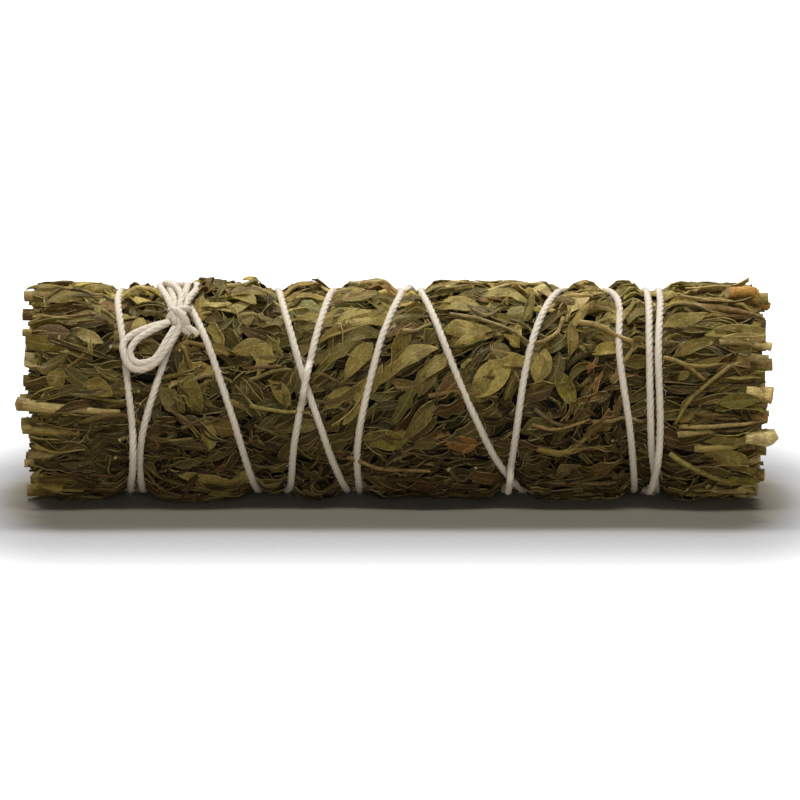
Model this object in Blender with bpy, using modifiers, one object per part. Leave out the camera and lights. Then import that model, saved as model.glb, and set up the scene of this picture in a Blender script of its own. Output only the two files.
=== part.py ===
"""Bundle of dried sage sprigs, bound with one wound cotton string that ends in a bow.

Metres, +Z up. The bundle lies along X on the plane z = 0, with the origin under its middle.
Angles go round the bundle's axis: 0 faces -Y, 90 faces up, -90 faces down and 180 faces +Y.

The sprigs lie side by side from end to end. Each is one grown piece: a woody stem with its leaves
pressed around it, so its solid is the leaf mass, with the bare stem standing out at both cut ends.
"""
import math
import random

import bmesh
import bpy
from mathutils import Vector

# Driving dimensions
BUNCH_LENGTH = 0.1016
MASS_RADIUS = 0.0151
AXIS_HEIGHT = 0.0147
STRING_DIAMETER = 0.00105
GAP = 0.0003

# Leaf mass: one core sprig and three rings round it
RING_RADII = (0.0024, 0.0064, 0.0104, MASS_RADIUS)
RING_COUNTS = (1, 6, 10, 14)
RING_NAMES = ("core", "inner", "middle", "outer")
RING_STEPS = (8, 8, 8, 27)
MASS_END = 0.0490
END_SPREAD = 0.0014
SIDE_WAVE = 3
SIDE_WAVE_LENGTH = 0.013
RING_WAVE = 0.0002
RING_WAVE_LENGTH = 0.011
WAVE_SHIFT = 2.4
OUTER_POINTS = 4
INNER_POINTS = 3
CORE_POINTS = 10
LUMP_DEPTH = 0.0003
LUMP_LENGTH = 0.0031
LUMP_TWIST = 9

# Bare stems at the cut ends
STEM_RADIUS = (0.00065, 0.001)
STEM_REACH = (0.0498, BUNCH_LENGTH / 2)
SHOULDER = 0.0004

# String: its centre line, the valley that it presses, and its rise over an earlier turn
STRING_RADIUS = 0.0136
STATIONS = 36
CROSSING_RISE = 0.0016
CROSSING_WIDTH = 0.0016
CROSSING_BLEND = 0.001
VALLEY_FLOOR = STRING_RADIUS - STRING_DIAMETER / 2 - GAP - 0.0001
VALLEY_HALF_WIDTH = 0.0025
VALLEY_SHOULDER = 0.0030

# Each turn of the string crosses the front at these angles, at the x given here in millimetres.
# The last place holds it straight under the bundle, so that turns cross behind and not below.
FRONT_ANGLES = (112, 80, 30, -20, -70, -125)
TURNS = (
    (None, None, -30.8, -34.2, -34.6, -34.6),
    (None, -37.7, -36.4, -35.3, -36.2, -36.2),
    (None, -28.9, -24.7, -21.0, -19.0, -18.4),
    (None, -15.7, -13.3, -9.5, -6.8, -6.8),
    (3.1, 3.7, 7.1, 12.1, 17.0, 18.2),
    (None, 29.8, 30.0, 31.6, 32.5, 32.5),
    (None, 34.2, 34.0, 34.3, 35.5, 35.6),
    (None, 35.9, 35.2, 35.4, 34.1, 34.1),
    (None, 21.5, 17.8, 16.0, 14.9, 14.4),
    (1.0, 0.6, -2.6, -5.1, -5.0, -5.0),
    (None, -9.0, -11.3, -13.6, -14.6, -17.2),
)
STRING_START = (40, -30.0)
STRING_FINISH = ((-165, -22.6), (-205, -30.4), (-240, -32.7), (-262, -31.8), (-296, -29.8))

# Bow: places are (x in millimetres, angle in degrees)
BOW_RADIUS = STRING_RADIUS + 0.0014
LOOP_POINTS = 22
KNOT_PLACE = (-29.2, 52)
KNOT_SIZE = (0.0024, 0.0029, 0.0022)
KNOT_LIFT = 0.0007
KNOT_REACH = 24
FRONT_LOOP = ((-30.8, 50.4), (-33.2, 46.4), (-34.6, 41.1), (-35.6, 35), (-36.2, 27.5), (-35.6, 22.4),
              (-34.2, 20.2), (-32.7, 23.2), (-31.7, 30), (-30.5, 35.7), (-29.9, 40.2))
TOP_LOOP = ((-30.2, 62), (-31.2, 71), (-32.1, 82), (-32.6, 94), (-32.0, 105), (-29.8, 112),
            (-27.8, 107), (-26.9, 96), (-26.8, 84), (-27.4, 72), (-28.3, 62))
TAIL = ((-28.3, 44.5), (-27.6, 42.5), (-27.1, 40.0))

# Loose pieces lie on the highest of the leaf mass this far to either side
REST_REACH = 0.0016

# Loose leaves on the surface: x in millimetres, angle, length and width in millimetres, and the
# turn from the X axis in degrees
LEAF_THICKNESS = 0.0004
LEAF_FACETS = (7, 3)
LEAF_TIP = 0.14
LEAF_TAPER = 0.7
LOOSE_LEAVES = (
    ("loose_leaf_oval", -27.6, 12, 7.4, 2.6, -68),
    ("loose_leaf_lobed", -25.6, -48, 9.4, 4.4, -22),
    ("loose_leaf_high", -5.6, 50, 6.2, 3.0, 8),
    ("loose_leaf_broad", -0.8, -17, 5.4, 2.8, 2),
    ("loose_leaf_folded", 12.9, 16, 6.4, 3.2, 38),
    ("loose_leaf_tan", 24.2, 62, 4.6, 2.4, 62),
    ("loose_leaf_pointed", 22.6, 12, 5.6, 2.2, -65),
    ("loose_leaf_end", 42.0, -62, 8.8, 2.4, -14),
    ("loose_leaf_back", -21.2, 172, 5.2, 2.6, 60),
    ("loose_leaf_back_end", 41.4, 176, 8.0, 3.0, 10),
)

# Loose stalks on the surface: places are (x in millimetres, angle in degrees)
STALK_RADIUS = 0.00045
STALK_POINTS = 8
LOOSE_STALKS = (
    ("loose_stalk_curved", ((20.0, -20), (23.0, -24), (26.2, -14), (28.0, -4))),
    ("loose_stalk_low", ((38.2, -14), (42.0, -12), (46.0, -12), (49.8, -11))),
    ("loose_stalk_high", ((38.2, 62), (41.5, 60), (45.5, 58), (49.6, 57))),
    ("loose_stalk_left", ((-50.6, 4), (-47.5, 3), (-43.5, 3), (-39.6, 1))),
    ("loose_stalk_back", ((-1.6, 183), (1.5, 179), (5.0, 181), (7.4, 178))),
)

MM = 0.001
COLLECTION = "sage_bunch"


def smoothstep(value):
    """Return 0 to 1 with an even start and finish."""
    value = min(max(value, 0.0), 1.0)
    return value * value * (3 - 2 * value)


def hermite(points, place):
    """Read a smooth curve through (place, value) points, whose places go one way."""
    index = 0
    while index < len(points) - 2 and (points[index + 1][0] - place) * (points[-1][0] - points[0][0]) < 0:
        index += 1
    (start, low), (end, high) = points[index], points[index + 1]
    chord = (high - low) / (end - start)
    slope_in = slope_out = chord
    if index > 0:
        slope_in = (high - points[index - 1][1]) / (end - points[index - 1][0])
    if index < len(points) - 2:
        slope_out = (points[index + 2][1] - low) / (points[index + 2][0] - start)
    t = (place - start) / (end - start)
    width = end - start
    value = low * (2 * t ** 3 - 3 * t ** 2 + 1) + high * (3 * t ** 2 - 2 * t ** 3)
    return value + width * (slope_in * (t ** 3 - 2 * t ** 2 + t) + slope_out * (t ** 3 - t ** 2))


def on_bundle(x, radius, degrees):
    """Place a point by its x, its distance from the axis and its angle."""
    angle = math.radians(degrees)
    return Vector((x, -radius * math.cos(angle), AXIS_HEIGHT + radius * math.sin(angle)))


def string_route():
    """Work out (x, angle, rise) at each station of the wound string, from the knot to the knot."""
    points = [(STRING_START[0], STRING_START[1])]
    for turn, row in enumerate(TURNS):
        for angle, x in zip(FRONT_ANGLES, row):
            if x is not None:
                points.append((angle - 360 * turn, x))
    last = 360 * (len(TURNS) - 1)
    points.extend((angle - last, x) for angle, x in STRING_FINISH)

    step = 360 / STATIONS
    count = int((points[0][0] - points[-1][0]) / step) + 1
    route = []
    for station in range(count):
        angle = points[0][0] - station * step
        x = hermite(points, angle) * MM
        rise = 0.0
        for earlier in range(station - STATIONS, -1, -STATIONS):
            apart = abs(x - route[earlier][0])
            over = smoothstep((CROSSING_WIDTH - apart) / CROSSING_BLEND)
            rise = max(rise, over * (CROSSING_RISE + route[earlier][2]))
        route.append((x, angle, rise))
    return route


def string_bed(route):
    """Return the route with its two ends carried on under the knot, where they press the leaves too."""
    knot_x = KNOT_PLACE[0] * MM
    start = (knot_x, route[0][1] + KNOT_REACH, 0.0)
    finish = (knot_x, route[-1][1] - KNOT_REACH, 0.0)
    return [start, *route, finish]


def string_crossings(route, degrees):
    """List the x of every pass of the string at one angle round the bundle."""
    crossings = []
    for (x_a, angle_a, _), (x_b, angle_b, _) in zip(route, route[1:]):
        ahead = (angle_a - degrees) % 360
        if ahead < angle_a - angle_b:
            crossings.append(x_a + (x_b - x_a) * ahead / (angle_a - angle_b))
    return crossings


def mass_radius(crossings, x, phase):
    """Return the leaf mass's outer radius at x: full between turns, pressed in under them.

    The lumps of one sprig follow its phase, and with no phase the radius is the tops of the lumps.
    """
    nearest = min(abs(x - crossing) for crossing in crossings)
    pressed = 1 - smoothstep((nearest - VALLEY_HALF_WIDTH) / VALLEY_SHOULDER)
    lump = 0.0 if phase is None else LUMP_DEPTH * (0.5 + 0.5 * math.sin(x / LUMP_LENGTH + phase))
    full = MASS_RADIUS - lump
    return full + (VALLEY_FLOOR - full) * pressed


def resting_radius(crossings, x):
    """Return the radius at which a loose leaf or stalk lies on the leaf mass around x."""
    nearby = [min(max(x + step, -MASS_END), MASS_END) for step in (-REST_REACH, 0.0, REST_REACH)]
    return max(mass_radius(crossings, spot, None) for spot in nearby) + GAP


def rest_flat(point):
    """Press a point of the leaf mass flat where it lies on the ground plane."""
    return Vector((point.x, point.y, max(point.z, 0.0)))


def ring_edge(ring, x, degrees):
    """Return the wavy radius of the boundary outside a ring of sprigs."""
    wave = math.sin(x / RING_WAVE_LENGTH + ring * WAVE_SHIFT) * math.cos(math.radians(degrees) * 2)
    return RING_RADII[ring] + RING_WAVE * wave


def sprig_side(ring, index, x):
    """Return the angle of the boundary between two sprigs of a ring, in degrees.

    The lowest sprig of a ring, which the bundle rests on, has straight sides.
    """
    spacing = 360 / RING_COUNTS[ring]
    base = -90 - spacing / 2 + index * spacing
    if index in (0, 1):
        return base
    return base + SIDE_WAVE * math.sin(x / SIDE_WAVE_LENGTH + index * WAVE_SHIFT)


def sprig_section(ring, index, x, bed, phase):
    """Return the outline of one sprig's leaf mass at x, half a gap inside its boundaries."""
    half = GAP / 2
    if ring == 0:
        radius = RING_RADII[0] - half
        return [on_bundle(x, radius, 360 * k / CORE_POINTS) for k in range(CORE_POINTS)]
    low = sprig_side(ring, index, x)
    high = sprig_side(ring, (index + 1) % RING_COUNTS[ring], x)
    if high < low:
        high += 360
    outline = []
    for k in range(OUTER_POINTS):
        share = k / (OUTER_POINTS - 1)
        edge = math.degrees(half / RING_RADII[ring])
        degrees = (low + edge) * (1 - share) + (high - edge) * share
        if RING_NAMES[ring] == "outer":
            radius = mass_radius(string_crossings(bed, degrees), x, phase + degrees / LUMP_TWIST)
            outline.append(rest_flat(on_bundle(x, radius, degrees)))
        else:
            outline.append(on_bundle(x, ring_edge(ring, x, degrees) - half, degrees))
    for k in range(INNER_POINTS):
        share = k / (INNER_POINTS - 1)
        inner_radius = RING_RADII[ring - 1]
        edge = math.degrees(half / inner_radius)
        degrees = (high - edge) * (1 - share) + (low + edge) * share
        outline.append(on_bundle(x, ring_edge(ring - 1, x, degrees) + half, degrees))
    return outline


def stem_section(outline, x, radius):
    """Return a round stem's outline at x, with its points in line with the leaf mass's points."""
    centre = sum(outline, Vector()) / len(outline)
    centre.x = x
    ring = []
    for point in outline:
        toward = Vector((0.0, point.y - centre.y, point.z - centre.z)).normalized()
        ring.append(centre + toward * radius)
    return ring


def loft(name, sections):
    """Skin a row of unlike outlines with the same number of points, and close both ends."""
    mesh = bpy.data.meshes.new(name)
    shape = bmesh.new()
    rings = [[shape.verts.new(point) for point in section] for section in sections]
    for ring, following in zip(rings, rings[1:]):
        edges = [shape.edges.get(pair) or shape.edges.new(pair)
                 for loop in (ring, following) for pair in zip(loop, loop[1:] + loop[:1])]
        bmesh.ops.bridge_loops(shape, edges=edges)
    shape.faces.new(rings[0])
    shape.faces.new(rings[-1])
    bmesh.ops.triangulate(shape, faces=shape.faces)
    bmesh.ops.recalc_face_normals(shape, faces=shape.faces)
    shape.to_mesh(mesh)
    shape.free()
    return bpy.data.objects.new(name, mesh)


def sprig(ring, index, bed, chance):
    """Build one sprig: its leaf mass along the bundle, with its bare stem out at both ends."""
    name = "sprig_core" if ring == 0 else f"sprig_{RING_NAMES[ring]}_{index + 1:02d}"
    phase = chance.uniform(0, math.tau)
    ends = [side * (MASS_END - chance.uniform(0, END_SPREAD)) for side in (-1, 1)]
    steps = RING_STEPS[ring]
    stations = [ends[0] + (ends[1] - ends[0]) * k / steps for k in range(steps + 1)]
    sections = [sprig_section(ring, index, x, bed, phase) for x in stations]
    radius = chance.uniform(*STEM_RADIUS)
    for side, at in ((-1, 0), (1, len(sections) - 1)):
        outline = sections[at]
        reach = side * chance.uniform(*STEM_REACH)
        stem = [stem_section(outline, outline[0].x + side * SHOULDER, radius),
                stem_section(outline, reach, radius)]
        sections = stem[::-1] + sections if side < 0 else sections + stem
    return loft(name, sections)


def tube(name, points, radius):
    """Build a round string or stalk along a row of points, with its ends capped."""
    curve = bpy.data.curves.new(name, "CURVE")
    curve.dimensions = "3D"
    curve.bevel_depth = radius
    curve.bevel_resolution = 2
    curve.use_fill_caps = True
    spline = curve.splines.new("POLY")
    spline.points.add(len(points) - 1)
    for slot, point in zip(spline.points, points):
        slot.co = (*point, 1.0)
    return bpy.data.objects.new(name, curve)


def smooth_places(places, count):
    """Read evenly spaced (x, angle) places from a smooth curve through the given ones."""
    last = len(places) - 1
    xs = [(k, place[0]) for k, place in enumerate(places)]
    angles = [(k, place[1]) for k, place in enumerate(places)]
    spots = [last * k / (count - 1) for k in range(count)]
    return [(hermite(xs, spot), hermite(angles, spot)) for spot in spots]


def bow_loop(name, places):
    """Build one loop of the bow, which lies over the turns below it."""
    points = [on_bundle(x * MM, BOW_RADIUS, angle) for x, angle in smooth_places(places, LOOP_POINTS)]
    return tube(name, points, STRING_DIAMETER / 2)


def bow_knot():
    """Build the knot that the string's two ends are tied in."""
    mesh = bpy.data.meshes.new("bow_knot")
    shape = bmesh.new()
    bmesh.ops.create_uvsphere(shape, u_segments=14, v_segments=8, radius=0.5)
    x, degrees = KNOT_PLACE
    outward = on_bundle(0.0, 1.0, degrees) - on_bundle(0.0, 0.0, degrees)
    around = outward.cross(Vector((1.0, 0.0, 0.0)))
    centre = on_bundle(x * MM, STRING_RADIUS + KNOT_LIFT, degrees)
    for vert in shape.verts:
        width, length, height = (a * b for a, b in zip(vert.co, KNOT_SIZE))
        vert.co = centre + Vector((1.0, 0.0, 0.0)) * width + around * length + outward * height
    bmesh.ops.recalc_face_normals(shape, faces=shape.faces)
    shape.to_mesh(mesh)
    shape.free()
    return bpy.data.objects.new("bow_knot", mesh)


def loose_leaf(name, bed, x, degrees, length, width, turn):
    """Build a loose leaf that lies on the leaf mass, pointed at both ends."""
    mesh = bpy.data.meshes.new(name)
    shape = bmesh.new()
    bmesh.ops.create_grid(shape, x_segments=LEAF_FACETS[0], y_segments=LEAF_FACETS[1], size=0.5)
    lean = math.radians(turn)
    for vert in shape.verts:
        along = vert.co.x
        fullness = max(math.sin(math.pi * (along + 0.5)), 0.0) ** LEAF_TAPER
        across = vert.co.y * (LEAF_TIP + (1 - LEAF_TIP) * fullness)
        run = along * length * math.cos(lean) - across * width * math.sin(lean)
        rise = along * length * math.sin(lean) + across * width * math.cos(lean)
        angle = degrees + math.degrees(rise * MM / MASS_RADIUS)
        radius = resting_radius(string_crossings(bed, angle), (x + run) * MM)
        vert.co = on_bundle((x + run) * MM, radius, angle)
    bmesh.ops.recalc_face_normals(shape, faces=shape.faces)
    shape.normal_update()
    face = next(iter(shape.faces))
    middle = face.calc_center_median()
    if face.normal.dot(middle - Vector((middle.x, 0.0, AXIS_HEIGHT))) < 0:
        bmesh.ops.reverse_faces(shape, faces=shape.faces)
    shape.to_mesh(mesh)
    shape.free()
    leaf = bpy.data.objects.new(name, mesh)
    wall = leaf.modifiers.new("thickness", "SOLIDIFY")
    wall.thickness = LEAF_THICKNESS
    wall.offset = 1.0
    return leaf


def loose_stalk(name, bed, places):
    """Build a loose stalk that lies on the leaf mass."""
    points = []
    for x, degrees in smooth_places(places, STALK_POINTS):
        radius = resting_radius(string_crossings(bed, degrees), x * MM) + STALK_RADIUS
        points.append(on_bundle(x * MM, radius, degrees))
    return tube(name, points, STALK_RADIUS)


def material(name, colour, roughness):
    """Make a plain matt material."""
    made = bpy.data.materials.new(name)
    made.use_nodes = True
    shader = made.node_tree.nodes["Principled BSDF"]
    shader.inputs["Base Color"].default_value = (*colour, 1.0)
    shader.inputs["Roughness"].default_value = roughness
    shader.inputs["Metallic"].default_value = 0.0
    return made


def place(collection, piece, finish):
    """Put a piece in the bundle's collection with its finish."""
    piece.data.materials.append(finish)
    collection.objects.link(piece)


def build():
    """Build the whole bundle."""
    for leftover in list(bpy.data.objects):
        bpy.data.objects.remove(leftover, do_unlink=True)
    collection = bpy.data.collections.new(COLLECTION)
    bpy.context.scene.collection.children.link(collection)

    outer_leaf = material("dried_leaf", (0.13, 0.11, 0.035), 0.75)
    inner_leaf = material("dried_leaf_inner", (0.10, 0.085, 0.03), 0.8)
    stalk = material("stalk_bark", (0.22, 0.13, 0.05), 0.7)
    cotton = material("cotton_string", (0.62, 0.55, 0.44), 0.9)

    chance = random.Random(11)
    route = string_route()
    bed = string_bed(route)
    for ring, count in enumerate(RING_COUNTS):
        for index in range(count):
            finish = outer_leaf if RING_NAMES[ring] == "outer" else inner_leaf
            place(collection, sprig(ring, index, bed, chance), finish)

    points = [on_bundle(x, STRING_RADIUS + rise, angle) for x, angle, rise in route]
    place(collection, tube("binding_string", points, STRING_DIAMETER / 2), cotton)
    place(collection, bow_knot(), cotton)
    place(collection, bow_loop("bow_loop_front", FRONT_LOOP), cotton)
    place(collection, bow_loop("bow_loop_top", TOP_LOOP), cotton)
    tail = [on_bundle(x * MM, STRING_RADIUS, angle) for x, angle in TAIL]
    place(collection, tube("string_tail", tail, STRING_DIAMETER / 2), cotton)

    for name, *sizes in LOOSE_LEAVES:
        place(collection, loose_leaf(name, bed, *sizes), outer_leaf)
    for name, places in LOOSE_STALKS:
        place(collection, loose_stalk(name, bed, places), stalk)


build()
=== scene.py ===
"""Looks of a bundle of dried sage sprigs, bound with one wound cotton string that ends in a bow.

The bundle lies along X on the ground plane. Shapes are worked out in millimetres and degrees on its
unrolled surface, as a place along the bundle, an angle round it and a distance from its axis, and are
turned into metres when a mesh is made. Angle 0 faces -Y, 90 faces up and 180 faces +Y.
"""
import logging
import math
from dataclasses import dataclass, field
from enum import Enum

import bmesh
import bpy
import numpy as np
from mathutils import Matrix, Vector


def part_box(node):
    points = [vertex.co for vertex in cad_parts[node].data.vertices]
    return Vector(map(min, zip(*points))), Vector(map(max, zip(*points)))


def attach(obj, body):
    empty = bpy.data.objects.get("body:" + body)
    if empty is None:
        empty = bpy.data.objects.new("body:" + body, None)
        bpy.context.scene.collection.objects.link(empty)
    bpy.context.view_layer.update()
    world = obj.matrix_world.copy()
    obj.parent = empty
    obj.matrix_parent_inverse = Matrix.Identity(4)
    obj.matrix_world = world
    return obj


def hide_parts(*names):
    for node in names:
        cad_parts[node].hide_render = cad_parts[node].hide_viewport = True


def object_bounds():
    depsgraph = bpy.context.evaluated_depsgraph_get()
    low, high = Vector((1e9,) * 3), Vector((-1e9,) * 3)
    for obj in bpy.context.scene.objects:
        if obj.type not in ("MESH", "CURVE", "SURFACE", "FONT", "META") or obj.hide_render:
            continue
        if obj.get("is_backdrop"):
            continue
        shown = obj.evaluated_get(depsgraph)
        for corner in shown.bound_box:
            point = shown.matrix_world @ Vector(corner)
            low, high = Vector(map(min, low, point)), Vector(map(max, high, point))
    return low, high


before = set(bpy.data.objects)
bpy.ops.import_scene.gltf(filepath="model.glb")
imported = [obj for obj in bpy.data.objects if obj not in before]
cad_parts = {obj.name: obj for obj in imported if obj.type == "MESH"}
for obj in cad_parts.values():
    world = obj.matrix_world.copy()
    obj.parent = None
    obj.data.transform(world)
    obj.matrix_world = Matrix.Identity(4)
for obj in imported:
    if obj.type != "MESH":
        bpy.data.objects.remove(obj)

LOG = logging.getLogger("sage")
MM = 0.001
BODY = "root"
SEED = 41


def smoothstep(value: np.ndarray) -> np.ndarray:
    """Ease 0 to 1 with an even start and finish, held outside that range."""
    held = np.clip(value, 0.0, 1.0)
    return held * held * (3 - 2 * held)


def hermite(points: list[tuple[float, float]], place: float) -> float:
    """Read a smooth curve through given points.

    Args:
        points: Pairs of place and value, whose places go one way.
        place: Where to read the curve.

    Returns:
        The curve's value there.
    """
    index = 0
    while index < len(points) - 2 and (points[index + 1][0] - place) * (points[-1][0] - points[0][0]) < 0:
        index += 1
    (start, low), (end, high) = points[index], points[index + 1]
    chord = (high - low) / (end - start)
    slope_in = slope_out = chord
    if index > 0:
        slope_in = (high - points[index - 1][1]) / (end - points[index - 1][0])
    if index < len(points) - 2:
        slope_out = (points[index + 2][1] - low) / (points[index + 2][0] - start)
    t = (place - start) / (end - start)
    width = end - start
    value = low * (2 * t**3 - 3 * t**2 + 1) + high * (3 * t**2 - 2 * t**3)
    return value + width * (slope_in * (t**3 - 2 * t**2 + t) + slope_out * (t**3 - t**2))


def linear(colour: tuple[int, int, int]) -> tuple[float, float, float]:
    """Turn a colour written as 0 to 255 steps into the linear one that shaders use."""
    return tuple(((c / 255 + 0.055) / 1.055) ** 2.4 if c > 10 else c / 255 / 12.92 for c in colour)


class LeafKind(Enum):
    """How a dried leaf has shrunk."""

    FLAT = "flat"
    FOLDED = "folded"
    ROLLED = "rolled"
    CRUMPLED = "crumpled"
    LOBED = "lobed"
    BLADE = "blade"


class Tint(Enum):
    """Colours of the dried leaves and stalks."""

    KHAKI = (128, 110, 49)
    YELLOW_OLIVE = (150, 133, 67)
    GREY_GREEN = (106, 98, 50)
    GREEN = (106, 97, 35)
    DARK_OLIVE = (76, 61, 21)
    BROWN = (94, 71, 33)
    TAN = (176, 154, 96)
    CREAM = (214, 190, 124)
    AMBER = (196, 148, 72)
    ORANGE_BROWN = (132, 90, 42)
    BARK = (146, 118, 66)
    STRAW = (160, 140, 84)


class Slot(Enum):
    """Places of the finishes in each piece's list of materials."""

    LEAF = 0
    BARK = 1
    PITH = 2
    MASS = 3


@dataclass
class Winding:
    """The one string's route round the bundle, from the knot and back to it."""

    radius: float = 13.6
    thickness: float = 1.05
    crossing_rise: float = 1.6
    crossing_width: float = 1.6
    crossing_blend: float = 1.0
    step: int = 2
    front_angles: tuple[int, ...] = (112, 80, 30, -20, -70, -125)
    turns: tuple[tuple[float | None, ...], ...] = (
        (None, None, -30.8, -34.2, -34.6, -34.6),
        (None, -37.7, -36.4, -35.3, -36.2, -36.2),
        (None, -28.9, -24.7, -21.0, -19.0, -18.4),
        (None, -15.7, -13.3, -9.5, -6.8, -6.8),
        (3.1, 3.7, 7.1, 12.1, 17.0, 18.2),
        (None, 29.8, 30.0, 31.6, 32.5, 32.5),
        (None, 34.2, 34.0, 34.3, 35.5, 35.6),
        (None, 35.9, 35.2, 35.4, 34.1, 34.1),
        (None, 21.5, 17.8, 16.0, 14.9, 14.4),
        (1.0, 0.6, -2.6, -5.1, -5.0, -5.0),
        (None, -9.0, -11.3, -13.6, -14.6, -17.2),
    )
    start: tuple[float, float] = (40, -30.0)
    finish: tuple[tuple[float, float], ...] = (
        (-165, -22.6), (-205, -30.4), (-240, -32.7), (-262, -31.8), (-296, -29.8))
    route: np.ndarray = field(init=False)

    def __post_init__(self) -> None:
        """Work out the route once."""
        self.route = self.follow()

    def follow(self) -> np.ndarray:
        """Follow the string round the bundle, over its own earlier turns.

        Returns:
            Rows of place along the bundle, angle and distance from the axis.
        """
        points = [self.start]
        for turn, row in enumerate(self.turns):
            points += [(angle - 360 * turn, x) for angle, x in zip(self.front_angles, row) if x is not None]
        last = 360 * (len(self.turns) - 1)
        points += [(angle - last, x) for angle, x in self.finish]
        count = int((points[0][0] - points[-1][0]) / self.step) + 1
        angles = points[0][0] - self.step * np.arange(count)
        places = np.array([hermite(points, float(angle)) for angle in angles])
        rises = np.zeros(count)
        lap = 360 // self.step
        for station in range(count):
            for earlier in range(station - lap, -1, -lap):
                apart = abs(places[station] - places[earlier])
                over = float(smoothstep((self.crossing_width - apart) / self.crossing_blend))
                rises[station] = max(rises[station], over * (self.crossing_rise + rises[earlier]))
        return np.column_stack([places, angles, self.radius + rises])

    def passes(self, angle: int) -> np.ndarray:
        """Return where along the bundle the string passes at an angle that its stations share."""
        return self.route[np.mod(self.route[:, 1] - angle, 360) == 0, 0]


@dataclass
class Bundle:
    """The pressed outside of the whole bundle, as distances from its axis on a grid."""

    winding: Winding
    axis: float
    half_length: float
    radius: float = 14.55
    lump: float = 0.36
    lump_waves: int = 14
    lump_spread: float = 0.55
    valley_floor: float = 12.95
    valley_flat: float = 0.35
    valley_shoulder: float = 2.0
    x_step: float = 0.25
    knot_bed: tuple[float, float, float] = (-29.6, 46.0, 112.0)
    free: np.ndarray = field(init=False)

    def __post_init__(self) -> None:
        """Work out the surface once."""
        self.free = self.press()

    def xs(self) -> np.ndarray:
        """Return the grid's places along the bundle."""
        return np.arange(-self.half_length - 1, self.half_length + 1 + self.x_step / 2, self.x_step)

    def press(self) -> np.ndarray:
        """Swell the surface between the turns of string and press it in under them.

        Returns:
            A grid with a row for each angle that the string's stations share and a column for each place.
        """
        chance = np.random.default_rng(SEED)
        xs = self.xs()
        angles = np.arange(0, 360, self.winding.step)
        swell = np.zeros((len(angles), len(xs)))
        for _ in range(self.lump_waves):
            across = int(chance.integers(-7, 8))
            along = chance.normal(0, self.lump_spread)
            shift = chance.uniform(0, math.tau)
            swell += np.sin(np.radians(angles)[:, None] * across + xs[None, :] * along + shift)
        full = self.radius + self.lump * swell / math.sqrt(self.lump_waves)
        surface = np.empty_like(full)
        for row, angle in enumerate(angles):
            passes = self.winding.passes(int(angle))
            x, low, high = self.knot_bed
            if low <= angle <= high:
                passes = np.append(passes, x)
            nearest = np.abs(xs[:, None] - passes[None, :]).min(axis=1)
            pressed = 1 - smoothstep((nearest - self.valley_flat) / self.valley_shoulder)
            surface[row] = full[row] + (self.valley_floor - full[row]) * pressed
        return surface

    def sample(self, grid: np.ndarray, x: np.ndarray, angle: np.ndarray) -> np.ndarray:
        """Read a grid of this bundle's surface between its points.

        Args:
            grid: A grid with the layout of the free surface.
            x: Places along the bundle.
            angle: Angles round it, in degrees.

        Returns:
            The grid's values there.
        """
        column = np.clip((x + self.half_length + 1) / self.x_step, 0, grid.shape[1] - 1.001)
        row = np.mod(angle, 360) / self.winding.step
        c0, r0 = column.astype(int), row.astype(int) % grid.shape[0]
        c, r = column - c0, row - np.floor(row)
        r1 = (r0 + 1) % grid.shape[0]
        low = grid[r0, c0] * (1 - c) + grid[r0, c0 + 1] * c
        high = grid[r1, c0] * (1 - c) + grid[r1, c0 + 1] * c
        return low * (1 - r) + high * r

    def place(self, x: np.ndarray, angle: np.ndarray, radius: np.ndarray) -> np.ndarray:
        """Turn places on the bundle into points in millimetres, none of them below the ground.

        Args:
            x: Places along the bundle.
            angle: Angles round it, in degrees.
            radius: Distances from its axis.

        Returns:
            The points, with their three coordinates last.
        """
        turn = np.radians(angle)
        height = np.maximum(self.axis + radius * np.sin(turn), 0.03)
        return np.stack([x, -radius * np.cos(turn), height], axis=-1)


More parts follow.
